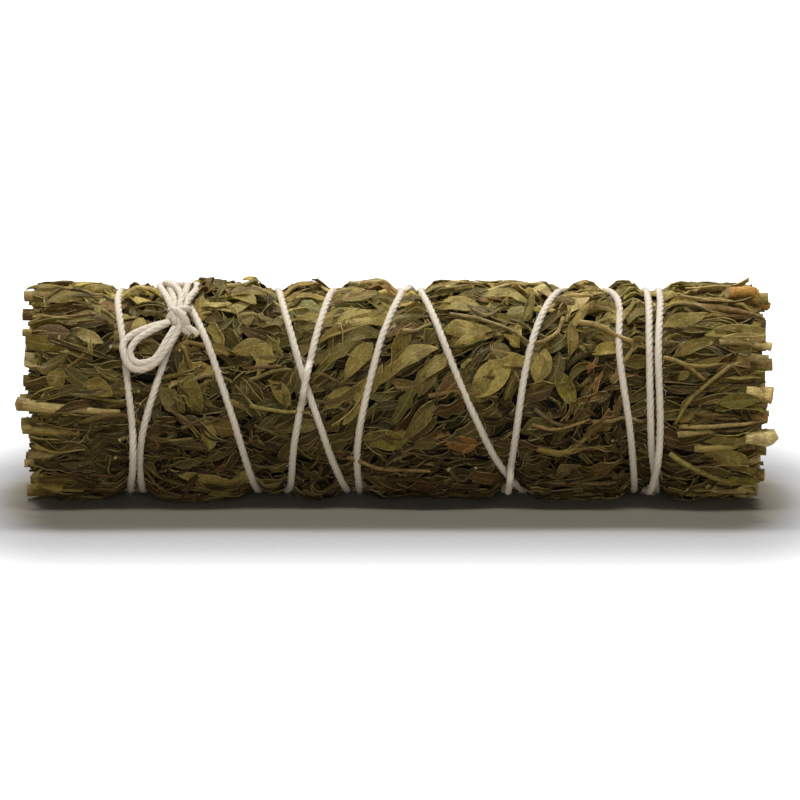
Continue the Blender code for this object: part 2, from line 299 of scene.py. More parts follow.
@dataclass
class Blank:
    """A flat blank or straight rod, copied and bent into each leaf or stalk."""

    mesh: bpy.types.Mesh
    station: np.ndarray
    around: np.ndarray
    side: np.ndarray
    shape: tuple[int, int]

    @staticmethod
    def leaf(name: str, along: int, across: int) -> "Blank":
        """Make a thin flat blank with an upper side, an underside and a rim.

        Args:
            name: The mesh's name.
            along: Cells from base to tip.
            across: Cells from margin to margin.

        Returns:
            The blank, with each vertex's station along, place across and side.
        """
        shape = bmesh.new()
        bmesh.ops.create_grid(shape, x_segments=along, y_segments=across, size=1.0)
        bmesh.ops.solidify(shape, geom=shape.faces[:], thickness=1.0)
        bmesh.ops.recalc_face_normals(shape, faces=shape.faces)
        middle = sum(v.co.z for v in shape.verts) / len(shape.verts)
        leaf_uv = shape.loops.layers.uv.new("leaf")
        bake_uv = shape.loops.layers.uv.new("OFBake")
        for face in shape.faces:
            face.smooth = True
            flat = abs(face.normal.z) > 0.5
            upper = face.calc_center_median().z > middle if flat else True
            for loop in face.loops:
                u, v = (loop.vert.co.x + 1) / 2, (loop.vert.co.y + 1) / 2
                loop[leaf_uv].uv = (u, v)
                grow = 1.07 if not flat and loop.vert.co.z < middle else 1.0
                centre = 0.25 if upper else 0.75
                loop[bake_uv].uv = (0.5 + (u - 0.5) * 0.9 * grow, centre + (v - 0.5) * 0.42 * grow)
        for edge in shape.edges:
            steep = [abs(face.normal.z) > 0.5 for face in edge.link_faces]
            edge.smooth = len(set(steep)) == 1
        columns = sorted({round(v.co.x, 4) for v in shape.verts})
        rows = sorted({round(v.co.y, 4) for v in shape.verts})
        station = np.array([columns.index(round(v.co.x, 4)) for v in shape.verts])
        around = np.array([rows.index(round(v.co.y, 4)) for v in shape.verts])
        side = np.array([0.5 if v.co.z > middle else -0.5 for v in shape.verts])
        mesh = bpy.data.meshes.new(name)
        shape.to_mesh(mesh)
        shape.free()
        return Blank(mesh, station, around, side, (len(columns), len(rows)))

    @staticmethod
    def rod(name: str, segments: int, sides: int) -> "Blank":
        """Make a straight rod with a bark side and two cut ends.

        Args:
            name: The mesh's name.
            segments: Cells from end to end.
            sides: Cells around.

        Returns:
            The blank. Its side holds each vertex's angle around the rod, in turns.
        """
        shape = bmesh.new()
        bmesh.ops.create_cone(shape, cap_ends=True, segments=sides, radius1=1.0, radius2=1.0, depth=1.0)
        long_edges = [e for e in shape.edges if abs(e.verts[0].co.z - e.verts[1].co.z) > 0.5]
        bmesh.ops.subdivide_edges(shape, edges=long_edges, cuts=segments - 1, use_grid_fill=True)
        bmesh.ops.recalc_face_normals(shape, faces=shape.faces)
        leaf_uv = shape.loops.layers.uv.new("leaf")
        bake_uv = shape.loops.layers.uv.new("OFBake")
        for face in shape.faces:
            cap = abs(face.normal.z) > 0.5
            face.smooth = not cap
            face.material_index = Slot.PITH.value if cap else Slot.BARK.value
            middle = face.calc_center_median()
            centre_turn = math.atan2(middle.y, middle.x) / math.tau % 1.0
            for loop in face.loops:
                x, y, z = loop.vert.co
                turn = math.atan2(y, x) / math.tau % 1.0
                turn += round(centre_turn - turn)
                if cap:
                    loop[leaf_uv].uv = (0.5 + x / 2, 0.5 + y / 2)
                    loop[bake_uv].uv = (0.25 + 0.5 * (z > 0) + x * 0.08, 0.9 + y * 0.08)
                else:
                    loop[leaf_uv].uv = (z + 0.5, turn)
                    loop[bake_uv].uv = (0.03 + 0.94 * (z + 0.5), 0.08 + turn * 0.62)
        for edge in shape.edges:
            edge.smooth = len({face.material_index for face in edge.link_faces}) == 1
        levels = sorted({round(v.co.z, 4) for v in shape.verts})
        station = np.array([levels.index(round(v.co.z, 4)) for v in shape.verts])
        turns = np.array([math.atan2(v.co.y, v.co.x) / math.tau for v in shape.verts])
        mesh = bpy.data.meshes.new(name)
        shape.to_mesh(mesh)
        shape.free()
        return Blank(mesh, station, np.zeros(len(turns), int), turns, (len(levels), 1))


@dataclass
class Growth:
    """The bent copies that make up one grown piece, gathered before its mesh is made."""

    name: str
    blanks: list[Blank] = field(default_factory=list)
    points: list[np.ndarray] = field(default_factory=list)
    tints: list[tuple[float, float, float, float]] = field(default_factory=list)

    def add(self, blank: Blank, points: np.ndarray, tint: tuple[float, float, float, float]) -> None:
        """Add one bent copy, with its points in millimetres and its colour and own random number."""
        self.blanks.append(blank)
        self.points.append(points)
        self.tints.append(tint)

    def build(self, materials: list[bpy.types.Material]) -> bpy.types.Object:
        """Make the piece's mesh from its copies.

        Args:
            materials: The finishes, in the order of Slot.

        Returns:
            The finished piece, at the origin.
        """
        shape = bmesh.new()
        for blank in self.blanks:
            shape.from_mesh(blank.mesh)
        mesh = bpy.data.meshes.new(self.name)
        shape.to_mesh(mesh)
        shape.free()
        mesh.vertices.foreach_set("co", (np.concatenate(self.points) * MM).ravel())
        counts = np.array([len(points) for points in self.points])
        tint = mesh.attributes.new("tint", "FLOAT_COLOR", "POINT")
        tint.data.foreach_set("color", np.repeat(np.array(self.tints), counts, axis=0).ravel())
        self.spread_uv(mesh)
        for material in materials:
            mesh.materials.append(material)
        mesh.update()
        piece = bpy.data.objects.new(self.name, mesh)
        bpy.context.scene.collection.objects.link(piece)
        return piece

    def spread_uv(self, mesh: bpy.types.Mesh) -> None:
        """Give each copy its own cell of the map that colours are baked on.

        Args:
            mesh: The piece's mesh, whose OFBake map still has every copy in the same place.
        """
        layer = mesh.uv_layers["OFBake"].data
        places = np.empty(len(layer) * 2)
        layer.foreach_get("uv", places)
        places = places.reshape(-1, 2)
        loops = np.array([len(blank.mesh.loops) for blank in self.blanks])
        across = math.ceil(math.sqrt(len(loops)))
        cells = np.arange(len(loops))
        corner = np.column_stack([cells % across, cells // across])
        places = (places + np.repeat(corner, loops, axis=0)) / across
        layer.foreach_set("uv", places.ravel())


@dataclass
class Leaf:
    """One leaf's outline and the way it has shrunk, in millimetres and degrees."""

    length: float
    width: float
    fold: float = 20.0
    lopsided: float = 0.0
    curl: float = 10.0
    arch: float = 0.2
    tip_rise: float = 0.0
    ripple: float = 0.1
    ripple_waves: float = 2.0
    ripple_shift: float = 0.0
    twist: float = 0.0
    roll: float = 0.0
    pitch: float = 0.0
    sickle: float = 0.0
    petiole: float = 0.12
    swell: float = 0.75
    taper: float = 0.8
    lobes: float = 0.0
    lobe_depth: float = 0.0
    blunt: float = 0.0
    crumple: float = 0.05
    seed: float = 0.0
    thickness: float = 0.13

    @staticmethod
    def grown(kind: LeafKind, length: float, width: float, chance: np.random.Generator) -> "Leaf":
        """Dry a leaf of a kind.

        Args:
            kind: How it has shrunk.
            length: Base to tip.
            width: Margin to margin, laid flat.
            chance: Where its own bends come from.

        Returns:
            The leaf.
        """
        leaf = Leaf(length, width)
        leaf.seed = chance.uniform(0, 100)
        leaf.ripple_shift = chance.uniform(0, math.tau)
        leaf.ripple_waves = chance.uniform(1.0, 2.6)
        leaf.lopsided = chance.uniform(-0.5, 0.5)
        leaf.twist = chance.normal(0, 24)
        leaf.roll = chance.normal(0, 32)
        leaf.pitch = chance.uniform(-6, 23)
        leaf.sickle = chance.normal(0, 0.08) * length
        leaf.arch = chance.uniform(-0.03, 0.13) * length
        leaf.tip_rise = chance.normal(0.03, 0.08) * length
        leaf.swell = chance.uniform(0.6, 1.2)
        leaf.taper = chance.uniform(0.5, 1.05)
        leaf.petiole = chance.uniform(0.03, 0.2)
        leaf.thickness = chance.uniform(0.11, 0.18)
        if kind is LeafKind.FLAT:
            leaf.fold, leaf.curl, leaf.ripple = chance.uniform(-4, 24), chance.uniform(-46, 52), 0.16
        elif kind is LeafKind.FOLDED:
            leaf.fold, leaf.curl, leaf.ripple = chance.uniform(30, 66), chance.uniform(-24, 10), 0.12
            leaf.roll = chance.normal(0, 34)
        elif kind is LeafKind.ROLLED:
            leaf.fold, leaf.ripple = chance.uniform(5, 20), 0.06
            leaf.curl = chance.choice([-1, 1]) * chance.uniform(80, 150)
        elif kind is LeafKind.CRUMPLED:
            leaf.fold, leaf.curl, leaf.ripple = chance.uniform(-30, 50), chance.uniform(-80, 90), 0.34
            leaf.crumple = 0.26
            leaf.twist = chance.normal(0, 55)
        elif kind is LeafKind.LOBED:
            leaf.fold, leaf.curl, leaf.ripple = chance.uniform(0, 18), chance.uniform(-16, 22), 0.2
            leaf.lobes, leaf.lobe_depth = chance.uniform(2, 3.2), 0.3
        elif kind is LeafKind.BLADE:
            leaf.fold, leaf.curl, leaf.ripple = chance.uniform(0, 55), chance.uniform(-90, 90), 0.1
            leaf.blunt, leaf.petiole, leaf.pitch = chance.uniform(0.05, 0.7), 0.0, chance.uniform(-4, 9)
        return leaf

    def outline(self, along: np.ndarray) -> np.ndarray:
        """Work out the leaf's outline.

        Args:
            along: Places from base 0 to tip 1.

        Returns:
            The share of the full half width at each.
        """
        t = np.clip((along - self.petiole) / (1 - self.petiole), 0.0, 1.0)
        top = self.swell / (self.swell + self.taper)
        peak = top**self.swell * (1 - top) ** self.taper
        share = t**self.swell * (1 - t) ** self.taper / peak
        share *= 1 + self.lobe_depth * np.sin(math.tau * self.lobes * t + self.seed) * smoothstep(t * 4)
        share = np.maximum(share, np.where(along < 0.5, 0.13, 0.035))
        return share * (1 - self.blunt) + self.blunt * smoothstep(along * 3 + 0.2)

    def bend(self, along: np.ndarray, across: np.ndarray) -> tuple[np.ndarray, np.ndarray, np.ndarray]:
        """Bend the flat blank into the dried leaf.

        Args:
            along: Places from base 0 to tip 1.
            across: Places from margin -1 to margin 1.

        Returns:
            Distances along, across and above the leaf's own seat.
        """
        out = np.abs(across) * self.outline(along) * self.width / 2
        hand = np.sign(across)
        start = np.radians(self.fold * (1 + self.lopsided * hand))
        rate = math.radians(self.curl if abs(self.curl) > 1 else 1.0) / (self.width / 2)
        end = start + rate * out
        b = hand * (np.sin(end) - np.sin(start)) / rate
        c = (np.cos(start) - np.cos(end)) / rate
        wave = np.sin(math.tau * self.ripple_waves * along + self.ripple_shift + hand)
        c = c + self.ripple * np.abs(across) ** 1.5 * wave
        dents = np.sin(along * 17 + self.seed) * np.sin(across * 4.1 + along * 6 + self.seed * 1.7)
        c = c + self.crumple * dents
        lean = np.radians(self.roll + self.twist * (along - 0.5))
        b, c = b * np.cos(lean) - c * np.sin(lean), b * np.sin(lean) + c * np.cos(lean)
        c = c + self.arch * np.sin(math.pi * along) + self.tip_rise * np.clip(along - 0.6, 0, 1) ** 2 * 6
        c = c + math.tan(math.radians(self.pitch)) * self.length * (along - 0.5)
        b = b + self.sickle * (2 * along - 1) ** 2
        return np.broadcast_to((along - 0.5) * self.length, b.shape), b, c


@dataclass
class LeafBed:
    """The heap of leaves as it grows: how high it is everywhere, and the laying of one more leaf."""

    bundle: Bundle
    depth: float = 2.8
    press_over: float = 0.7
    sag: float = 0.3
    arc_radius: float = 14.6
    height: np.ndarray = field(init=False)

    def __post_init__(self) -> None:
        """Start from the pressed mass under all of the leaves."""
        self.height = self.bundle.free - self.depth

    def seat(self, x: np.ndarray, angle: np.ndarray, reach: np.ndarray, heading: float) -> np.ndarray:
        """Find how high a leaf's spine lies.

        Args:
            x: The spine's places along the bundle.
            angle: The spine's angles.
            reach: How far to each side the leaf bears on the heap.
            heading: The leaf's direction, in degrees from the X axis.

        Returns:
            The spine's distances from the axis, smoothed as a stiff leaf lies.
        """
        turn = math.radians(heading)
        high = self.bundle.sample(self.height, x, angle)
        for hand in (-1, 1):
            aside_x = x - hand * reach * math.sin(turn)
            aside = angle + np.degrees(hand * reach * math.cos(turn) / self.arc_radius)
            high = high + self.bundle.sample(self.height, aside_x, aside)
        padded = np.pad(high / 3, 2, mode="edge")
        return (padded[:-4] + padded[1:-3] + padded[2:-2] + padded[3:-1] + padded[4:]) / 5 - self.sag

    def lay(self, blank: Blank, leaf: Leaf, x: float, angle: float, heading: float,
            over: float | None = None, drop: float | None = None) -> np.ndarray:
        """Lay a leaf on the heap, which rises by it.

        Args:
            blank: The blank to bend.
            leaf: The leaf's shape.
            x: Its middle's place along the bundle.
            angle: Its middle's angle.
            heading: Its direction, in degrees from the X axis.
            over: How far it may stand over the pressed surface.
            drop: How far under that surface its middle may lie.

        Returns:
            The points of the bent blank, in millimetres.
        """
        limit = self.press_over if over is None else over
        along = np.linspace(0, 1, blank.shape[0])
        across = np.linspace(-1, 1, blank.shape[1])
        a, b, c = leaf.bend(along[:, None], across[None, :])
        turn = math.radians(heading)
        spine_x = x + a[:, 0] * math.cos(turn)
        spine_angle = angle + np.degrees(a[:, 0] * math.sin(turn) / self.arc_radius)
        reach = leaf.outline(along) * leaf.width * 0.3
        seat = self.seat(spine_x, spine_angle, reach, heading)
        spot_x = x + a * math.cos(turn) - b * math.sin(turn)
        spot_angle = angle + np.degrees((a * math.sin(turn) + b * math.cos(turn)) / self.arc_radius)
        free = self.bundle.sample(self.bundle.free, spot_x, spot_angle)
        if drop is not None:
            middle = len(seat) // 2
            seat = np.maximum(seat, free[:, blank.shape[1] // 2].mean() - drop)
            seat = 0.5 * seat + 0.5 * seat[middle]
        radius = seat[:, None] + c + leaf.thickness / 2
        above = np.maximum(radius - free, 0)
        radius = np.where(radius > free, free + limit * (1 - np.exp(-above / limit)), radius)
        spot_x = np.clip(spot_x, -self.bundle.half_length + 0.6, self.bundle.half_length - 0.6)
        self.mark(spot_x, spot_angle, radius + leaf.thickness / 2)
        points = self.bundle.place(spot_x, spot_angle, radius)
        points[..., 2] = np.maximum(points[..., 2], leaf.thickness)
        return thicken(blank, points, leaf.thickness)

    def mark(self, x: np.ndarray, angle: np.ndarray, radius: np.ndarray) -> None:
        """Raise the heap under a leaf, read more finely than its blank.

        Args:
            x: Its points' places along the bundle.
            angle: Their angles.
            radius: Their distances from the axis.
        """
        for _ in range(2):
            x, angle, radius = (midway(midway(values).T).T for values in (x, angle, radius))
        grid = self.height
        column = ((x + self.bundle.half_length + 1) / self.bundle.x_step + 0.5).astype(int)
        column = np.clip(column, 0, grid.shape[1] - 1)
        row = (np.mod(angle, 360) / self.bundle.winding.step + 0.5).astype(int) % grid.shape[0]
        np.maximum.at(grid, (row, column), radius)

    def lowest(self, x: np.ndarray, angle: np.ndarray) -> int:
        """Find the place with the most room above the heap.

        Args:
            x: Places along the bundle.
            angle: Their angles.

        Returns:
            The number of that place.
        """
        room = np.zeros(len(x))
        for step in (-1.2, 0.0, 1.2):
            free = self.bundle.sample(self.bundle.free, x + step, angle)
            room += free - self.bundle.sample(self.height, x + step, angle)
        return int(room.argmax())


def midway(values: np.ndarray) -> np.ndarray:
    """Put a row halfway between each two rows."""
    fine = np.empty((2 * len(values) - 1, *values.shape[1:]))
    fine[::2] = values
    fine[1::2] = (values[:-1] + values[1:]) / 2
    return fine


def thicken(blank: Blank, points: np.ndarray, thickness: float) -> np.ndarray:
    """Give a bent sheet its two sides.

    Args:
        blank: The blank whose vertices the sheet's points are for.
        points: The sheet's middle, as a grid of points.
        thickness: The distance between its sides.

    Returns:
        A point for each vertex of the blank.
    """
    normal = np.cross(np.gradient(points, axis=0), np.gradient(points, axis=1))
    normal /= np.maximum(np.linalg.norm(normal, axis=-1, keepdims=True), 1e-9)
    shift = blank.side[:, None] * thickness
    chosen = points[blank.station, blank.around] + normal[blank.station, blank.around] * shift
    chosen[:, 2] = np.maximum(chosen[:, 2], 0.01)
    return chosen


def round_rod(blank: Blank, line: np.ndarray, radius: np.ndarray) -> np.ndarray:
    """Bend a rod along a line.

    Args:
        blank: The rod's blank.
        line: A point for each station, in millimetres.
        radius: The rod's radius at each station.

    Returns:
        A point for each vertex of the blank.
    """
    ahead = np.gradient(line, axis=0)
    ahead /= np.linalg.norm(ahead, axis=1, keepdims=True)
    aside = np.cross(ahead, np.array([0.13, 0.31, 0.94]))
    aside /= np.linalg.norm(aside, axis=1, keepdims=True)
    other = np.cross(ahead, aside)
    turn = blank.side * math.tau
    spoke = np.cos(turn)[:, None] * aside[blank.station] + np.sin(turn)[:, None] * other[blank.station]
    points = line[blank.station] + spoke * radius[blank.station, None]
    points[:, 2] = np.maximum(points[:, 2], 0.01)
    return points


@dataclass
class Nodes:
    """A node tree under construction."""

    tree: bpy.types.NodeTree

    def add(self, kind: str, inputs: dict[str | int, object] | None = None,
            **settings: object) -> bpy.types.Node:
        """Add a node.

        Args:
            kind: The node's type.
            inputs: What goes into each socket: a value, or a socket to link from.
            settings: The node's own settings.

        Returns:
            The node.
        """
        node = self.tree.nodes.new(kind)
        for name, value in settings.items():
            setattr(node, name, value)
        for name, value in (inputs or {}).items():
            if isinstance(value, bpy.types.NodeSocket):
                self.tree.links.new(value, node.inputs[name])
            else:
                node.inputs[name].default_value = value
        return node

    def maths(self, operation: str, *values: object) -> bpy.types.NodeSocket:
        """Add a sum of values or sockets and return its result."""
        return self.add("ShaderNodeMath", dict(enumerate(values)), operation=operation).outputs[0]

    def ramp(self, value: object, low: float, high: float, out_low: float = 0.0,
             out_high: float = 1.0) -> bpy.types.NodeSocket:
        """Ease a value between two limits into another range and return it."""
        inputs = {"Value": value, "From Min": low, "From Max": high, "To Min": out_low, "To Max": out_high}
        return self.add("ShaderNodeMapRange", inputs, interpolation_type="SMOOTHSTEP").outputs[0]

    def mix(self, share: object, first: object, second: object, blend: str = "MIX") -> bpy.types.NodeSocket:
        """Blend two colours.

        Args:
            share: How much of the second there is.
            first: A colour or socket.
            second: A colour or socket.
            blend: How they blend.

        Returns:
            The result.
        """
        node = self.add("ShaderNodeMix", data_type="RGBA", blend_type=blend)
        for place, value in ((0, share), (6, first), (7, second)):
            if isinstance(value, bpy.types.NodeSocket):
                self.tree.links.new(value, node.inputs[place])
            else:
                node.inputs[place].default_value = value
        return node.outputs[2]

    def share(self, value: object, amount: float) -> bpy.types.NodeSocket:
        """Return a share of a value."""
        return self.maths("MULTIPLY", value, amount)

    def grey(self, value: object) -> bpy.types.NodeSocket:
        """Return a grey as light as a value."""
        return self.add("ShaderNodeCombineColor", {channel: value for channel in range(3)}).outputs[0]

    def noise(self, vector: object, scale: float, detail: float = 3.0, roughness: float = 0.55,
              distortion: float = 0.0) -> bpy.types.NodeSocket:
        """Add a noise and return its value."""
        inputs = {"Vector": vector, "Scale": scale, "Detail": detail, "Roughness": roughness,
                  "Distortion": distortion}
        return self.add("ShaderNodeTexNoise", inputs).outputs[0]

    def group(self, tree: bpy.types.NodeTree, **inputs: object) -> bpy.types.Node:
        """Place a node group with its own values.

        Args:
            tree: The group.
            inputs: Each socket's value or link, by the socket's name in small letters.

        Returns:
            The node.
        """
        node = self.tree.nodes.new("ShaderNodeGroup")
        node.node_tree = tree
        for name, value in inputs.items():
            socket = node.inputs[name.replace("_", " ").title()]
            if isinstance(value, bpy.types.NodeSocket):
                self.tree.links.new(value, socket)
            else:
                socket.default_value = value
        return node


def rgba(colour: tuple[int, int, int]) -> tuple[float, float, float, float]:
    """Return a colour of 0 to 255 steps as a shader's linear colour."""
    return (*linear(colour), 1.0)


@dataclass
class Effects:
    """The shader node groups that the finishes share."""

    mottle: bpy.types.NodeTree = field(init=False)
    veins: bpy.types.NodeTree = field(init=False)

    def __post_init__(self) -> None:
        """Build each group once."""
        self.mottle = self.build_mottle()
        self.veins = self.build_veins()

    def start(self, name: str, ins: dict[str, tuple[str, float]], outs: tuple[str, ...]) -> tuple[
            Nodes, bpy.types.Node, bpy.types.Node]:
        """Start a node group.

        Args:
            name: The group's name.
            ins: Each input's name, with its socket type and first value.
            outs: The names of its outputs, all of them numbers.

        Returns:
            The group's nodes, its input node and its output node.
        """
        tree = bpy.data.node_groups.new(name, "ShaderNodeTree")
        for label, (kind, value) in ins.items():
            socket = tree.interface.new_socket(label, in_out="INPUT", socket_type=kind)
            if kind == "NodeSocketFloat":
                socket.default_value = value
        for label in outs:
            tree.interface.new_socket(label, in_out="OUTPUT", socket_type="NodeSocketFloat")
        nodes = Nodes(tree)
        return nodes, nodes.add("NodeGroupInput"), nodes.add("NodeGroupOutput")

    def build_mottle(self) -> bpy.types.NodeTree:
        """Build the blotches, speckle and wrinkles of dry plant matter.

        Returns:
            The group. It puts out a mask of blotches, a speckle round 1 and a height of wrinkles.
        """
        number, vector = "NodeSocketFloat", "NodeSocketVector"
        ins = {"Place": (vector, 0.0), "Blotch Size": (number, 400.0), "Speckle Size": (number, 3000.0),
               "Wrinkle Size": (number, 1100.0)}
        nodes, inlet, outlet = self.start("mottle", ins, ("Blotch", "Speckle", "Wrinkle"))
        place = inlet.outputs["Place"]
        blotch = nodes.noise(place, 1.0, 4.0, 0.62, 0.6)
        nodes.tree.links.new(inlet.outputs["Blotch Size"], blotch.node.inputs["Scale"])
        speckle = nodes.noise(place, 1.0, 2.0, 0.7)
        nodes.tree.links.new(inlet.outputs["Speckle Size"], speckle.node.inputs["Scale"])
        wrinkle = nodes.noise(place, 1.0, 3.0, 0.6, 1.2)
        nodes.tree.links.new(inlet.outputs["Wrinkle Size"], wrinkle.node.inputs["Scale"])
        nodes.tree.links.new(nodes.ramp(blotch, 0.40, 0.68), outlet.inputs["Blotch"])
        nodes.tree.links.new(nodes.ramp(speckle, 0.25, 0.75, 0.72, 1.26), outlet.inputs["Speckle"])
        ridged = nodes.maths("ABSOLUTE", nodes.maths("SUBTRACT", wrinkle, 0.5))
        nodes.tree.links.new(nodes.maths("MULTIPLY", ridged, 3.0), outlet.inputs["Wrinkle"])
        return nodes.tree

    def build_veins(self) -> bpy.types.NodeTree:
        """Build a leaf's midrib, side veins and rim from its own map.

        Returns:
            The group. It puts out masks of the rib and the rim, and a height of the veins.
        """
        nodes, inlet, outlet = self.start("veins", {"Leaf Map": ("NodeSocketVector", 0.0)},
                                          ("Rib", "Rim", "Vein"))
        parts = nodes.add("ShaderNodeSeparateXYZ", {"Vector": inlet.outputs["Leaf Map"]})
        off = nodes.maths("ABSOLUTE", nodes.maths("SUBTRACT", parts.outputs["Y"], 0.5))
        rib = nodes.ramp(off, 0.01, 0.07, 1.0, 0.0)
        rim = nodes.ramp(off, 0.45, 0.5)
        slanted = nodes.maths("SUBTRACT", parts.outputs["X"], nodes.maths("MULTIPLY", off, 0.45))
        wave = nodes.maths("SINE", nodes.maths("MULTIPLY", slanted, 52.0))
        vein = nodes.maths("MAXIMUM", nodes.ramp(wave, 0.6, 1.0), rib)
        for name, value in (("Rib", rib), ("Rim", rim), ("Vein", vein)):
            nodes.tree.links.new(value, outlet.inputs[name])
        return nodes.tree


def new_material(name: str) -> tuple[Nodes, bpy.types.ShaderNodeBsdfPrincipled]:
    """Start a material and return its nodes and its shader."""
    material = bpy.data.materials.new(name)
    material.use_nodes = True
    return Nodes(material.node_tree), material.node_tree.nodes["Principled BSDF"]


@dataclass(frozen=True)
class LeafFinish:
    """Dull dried leaf: its own colour, browned in blotches, with pale ribs and rims."""

    name: str = "dried_leaf"
    brown: tuple[int, int, int] = (80, 58, 21)
    pale: tuple[int, int, int] = (198, 176, 112)
    rib_show: float = 0.16
    rim_show: float = 0.25
    blotch_show: float = 0.6
    roughness: float = 0.66
    specular: float = 0.16
    relief: float = 0.00012
    vein_share: float = 0.4

    def make(self, effects: Effects) -> bpy.types.Material:
        """Make the material.

        Args:
            effects: The shared node groups.

        Returns:
            The material.
        """
        nodes, shader = new_material(self.name)
        tint = nodes.add("ShaderNodeAttribute", attribute_name="tint")
        spot = nodes.add("ShaderNodeTexCoord").outputs["Object"]
        leaf_map = nodes.add("ShaderNodeUVMap", uv_map="leaf").outputs["UV"]
        own = nodes.add("ShaderNodeCombineXYZ", {"X": tint.outputs["Alpha"]}).outputs[0]
        place = nodes.add("ShaderNodeVectorMath", {0: spot, 1: own}, operation="ADD").outputs[0]
        mottle = nodes.group(effects.mottle, place=place, blotch_size=420.0, speckle_size=2600.0,
                             wrinkle_size=1150.0)
        veins = nodes.group(effects.veins, leaf_map=leaf_map)
        browned = nodes.mix(nodes.share(mottle.outputs["Blotch"], self.blotch_show),
                            tint.outputs["Color"], rgba(self.brown))
        ribbed = nodes.mix(nodes.share(veins.outputs["Rib"], self.rib_show), browned, rgba(self.pale))
        rimmed = nodes.mix(nodes.share(veins.outputs["Rim"], self.rim_show), ribbed, rgba(self.pale))
        grain = nodes.grey(mottle.outputs["Speckle"])
        nodes.tree.links.new(nodes.mix(1.0, rimmed, grain, "MULTIPLY"), shader.inputs["Base Color"])
        nodes.tree.links.new(nodes.ramp(mottle.outputs["Wrinkle"], 0.0, 0.6, self.roughness - 0.12,
                                        self.roughness + 0.12), shader.inputs["Roughness"])
        raised = nodes.share(veins.outputs["Vein"], self.vein_share)
        height = nodes.maths("ADD", mottle.outputs["Wrinkle"], raised)
        bump = nodes.add("ShaderNodeBump", {"Strength": 0.85, "Distance": self.relief, "Height": height})
        nodes.tree.links.new(bump.outputs[0], shader.inputs["Normal"])
        shader.inputs["Specular IOR Level"].default_value = self.specular
        return bpy.data.materials[self.name]


@dataclass(frozen=True)
class BarkFinish:
    """Thin ridged bark of a dried stalk, with fibres that run along it."""

    name: str = "dried_bark"
    dark: tuple[int, int, int] = (74, 44, 16)
    fibre_stretch: tuple[float, float, float] = (2.2, 26.0, 1.0)
    blotch_show: float = 0.5
    streak_show: float = 0.4
    roughness: float = 0.58
    relief: float = 0.0001

    def make(self, effects: Effects) -> bpy.types.Material:
        """Make the material.

        Args:
            effects: The shared node groups.

        Returns:
            The material.
        """
        nodes, shader = new_material(self.name)
        tint = nodes.add("ShaderNodeAttribute", attribute_name="tint")
        spot = nodes.add("ShaderNodeTexCoord").outputs["Object"]
        mottle = nodes.group(effects.mottle, place=spot, blotch_size=500.0, speckle_size=2400.0,
                             wrinkle_size=900.0)
        leaf_map = nodes.add("ShaderNodeUVMap", uv_map="leaf").outputs["UV"]
        drawn = nodes.add("ShaderNodeVectorMath", {0: leaf_map, 1: self.fibre_stretch}, operation="MULTIPLY")
        fibre = nodes.noise(drawn.outputs[0], 1.6, 3.0, 0.6)
        streak = nodes.ramp(fibre, 0.42, 0.62)
        aged = nodes.mix(nodes.share(mottle.outputs["Blotch"], self.blotch_show), tint.outputs["Color"],
                         rgba(self.dark))
        lined = nodes.mix(nodes.share(streak, self.streak_show), aged, rgba(self.dark))
        grain = nodes.grey(mottle.outputs["Speckle"])
        nodes.tree.links.new(nodes.mix(1.0, lined, grain, "MULTIPLY"), shader.inputs["Base Color"])
        nodes.tree.links.new(nodes.ramp(streak, 0.0, 1.0, self.roughness - 0.08, self.roughness + 0.16),
                             shader.inputs["Roughness"])
        bump = nodes.add("ShaderNodeBump", {"Strength": 0.8, "Distance": self.relief, "Height": fibre})
        nodes.tree.links.new(bump.outputs[0], shader.inputs["Normal"])
        shader.inputs["Specular IOR Level"].default_value = 0.2
        return bpy.data.materials[self.name]


@dataclass(frozen=True)
class PithFinish:
    """The cut end of a stalk: cream pith inside a thin brown skin."""

    name: str = "cut_pith"
    cream: tuple[int, int, int] = (214, 196, 152)
    skin: tuple[int, int, int] = (112, 84, 46)
    stain_show: float = 0.35

    def make(self, effects: Effects) -> bpy.types.Material:
        """Make the material.

        Args:
            effects: The shared node groups.

        Returns:
            The material.
        """
        nodes, shader = new_material(self.name)
        spot = nodes.add("ShaderNodeTexCoord").outputs["Object"]
        mottle = nodes.group(effects.mottle, place=spot, blotch_size=900.0, speckle_size=4200.0,
                             wrinkle_size=2600.0)
        leaf_map = nodes.add("ShaderNodeUVMap", uv_map="leaf").outputs["UV"]
        off = nodes.add("ShaderNodeVectorMath", {0: leaf_map, 1: (0.5, 0.5, 0.0)}, operation="DISTANCE")
        rim = nodes.ramp(off.outputs["Value"], 0.34, 0.44)
        body = nodes.mix(nodes.share(mottle.outputs["Blotch"], self.stain_show), rgba(self.cream),
                         rgba(self.skin))
        grain = nodes.grey(mottle.outputs["Speckle"])
        cut = nodes.mix(1.0, nodes.mix(rim, body, rgba(self.skin)), grain, "MULTIPLY")
        nodes.tree.links.new(cut, shader.inputs["Base Color"])
        nodes.tree.links.new(nodes.ramp(mottle.outputs["Wrinkle"], 0.0, 1.0, 0.75, 0.95),
                             shader.inputs["Roughness"])
        bump = nodes.add("ShaderNodeBump", {"Strength": 0.9, "Distance": 0.00015,
                                            "Height": mottle.outputs["Wrinkle"]})
        nodes.tree.links.new(bump.outputs[0], shader.inputs["Normal"])
        shader.inputs["Specular IOR Level"].default_value = 0.2
        return bpy.data.materials[self.name]


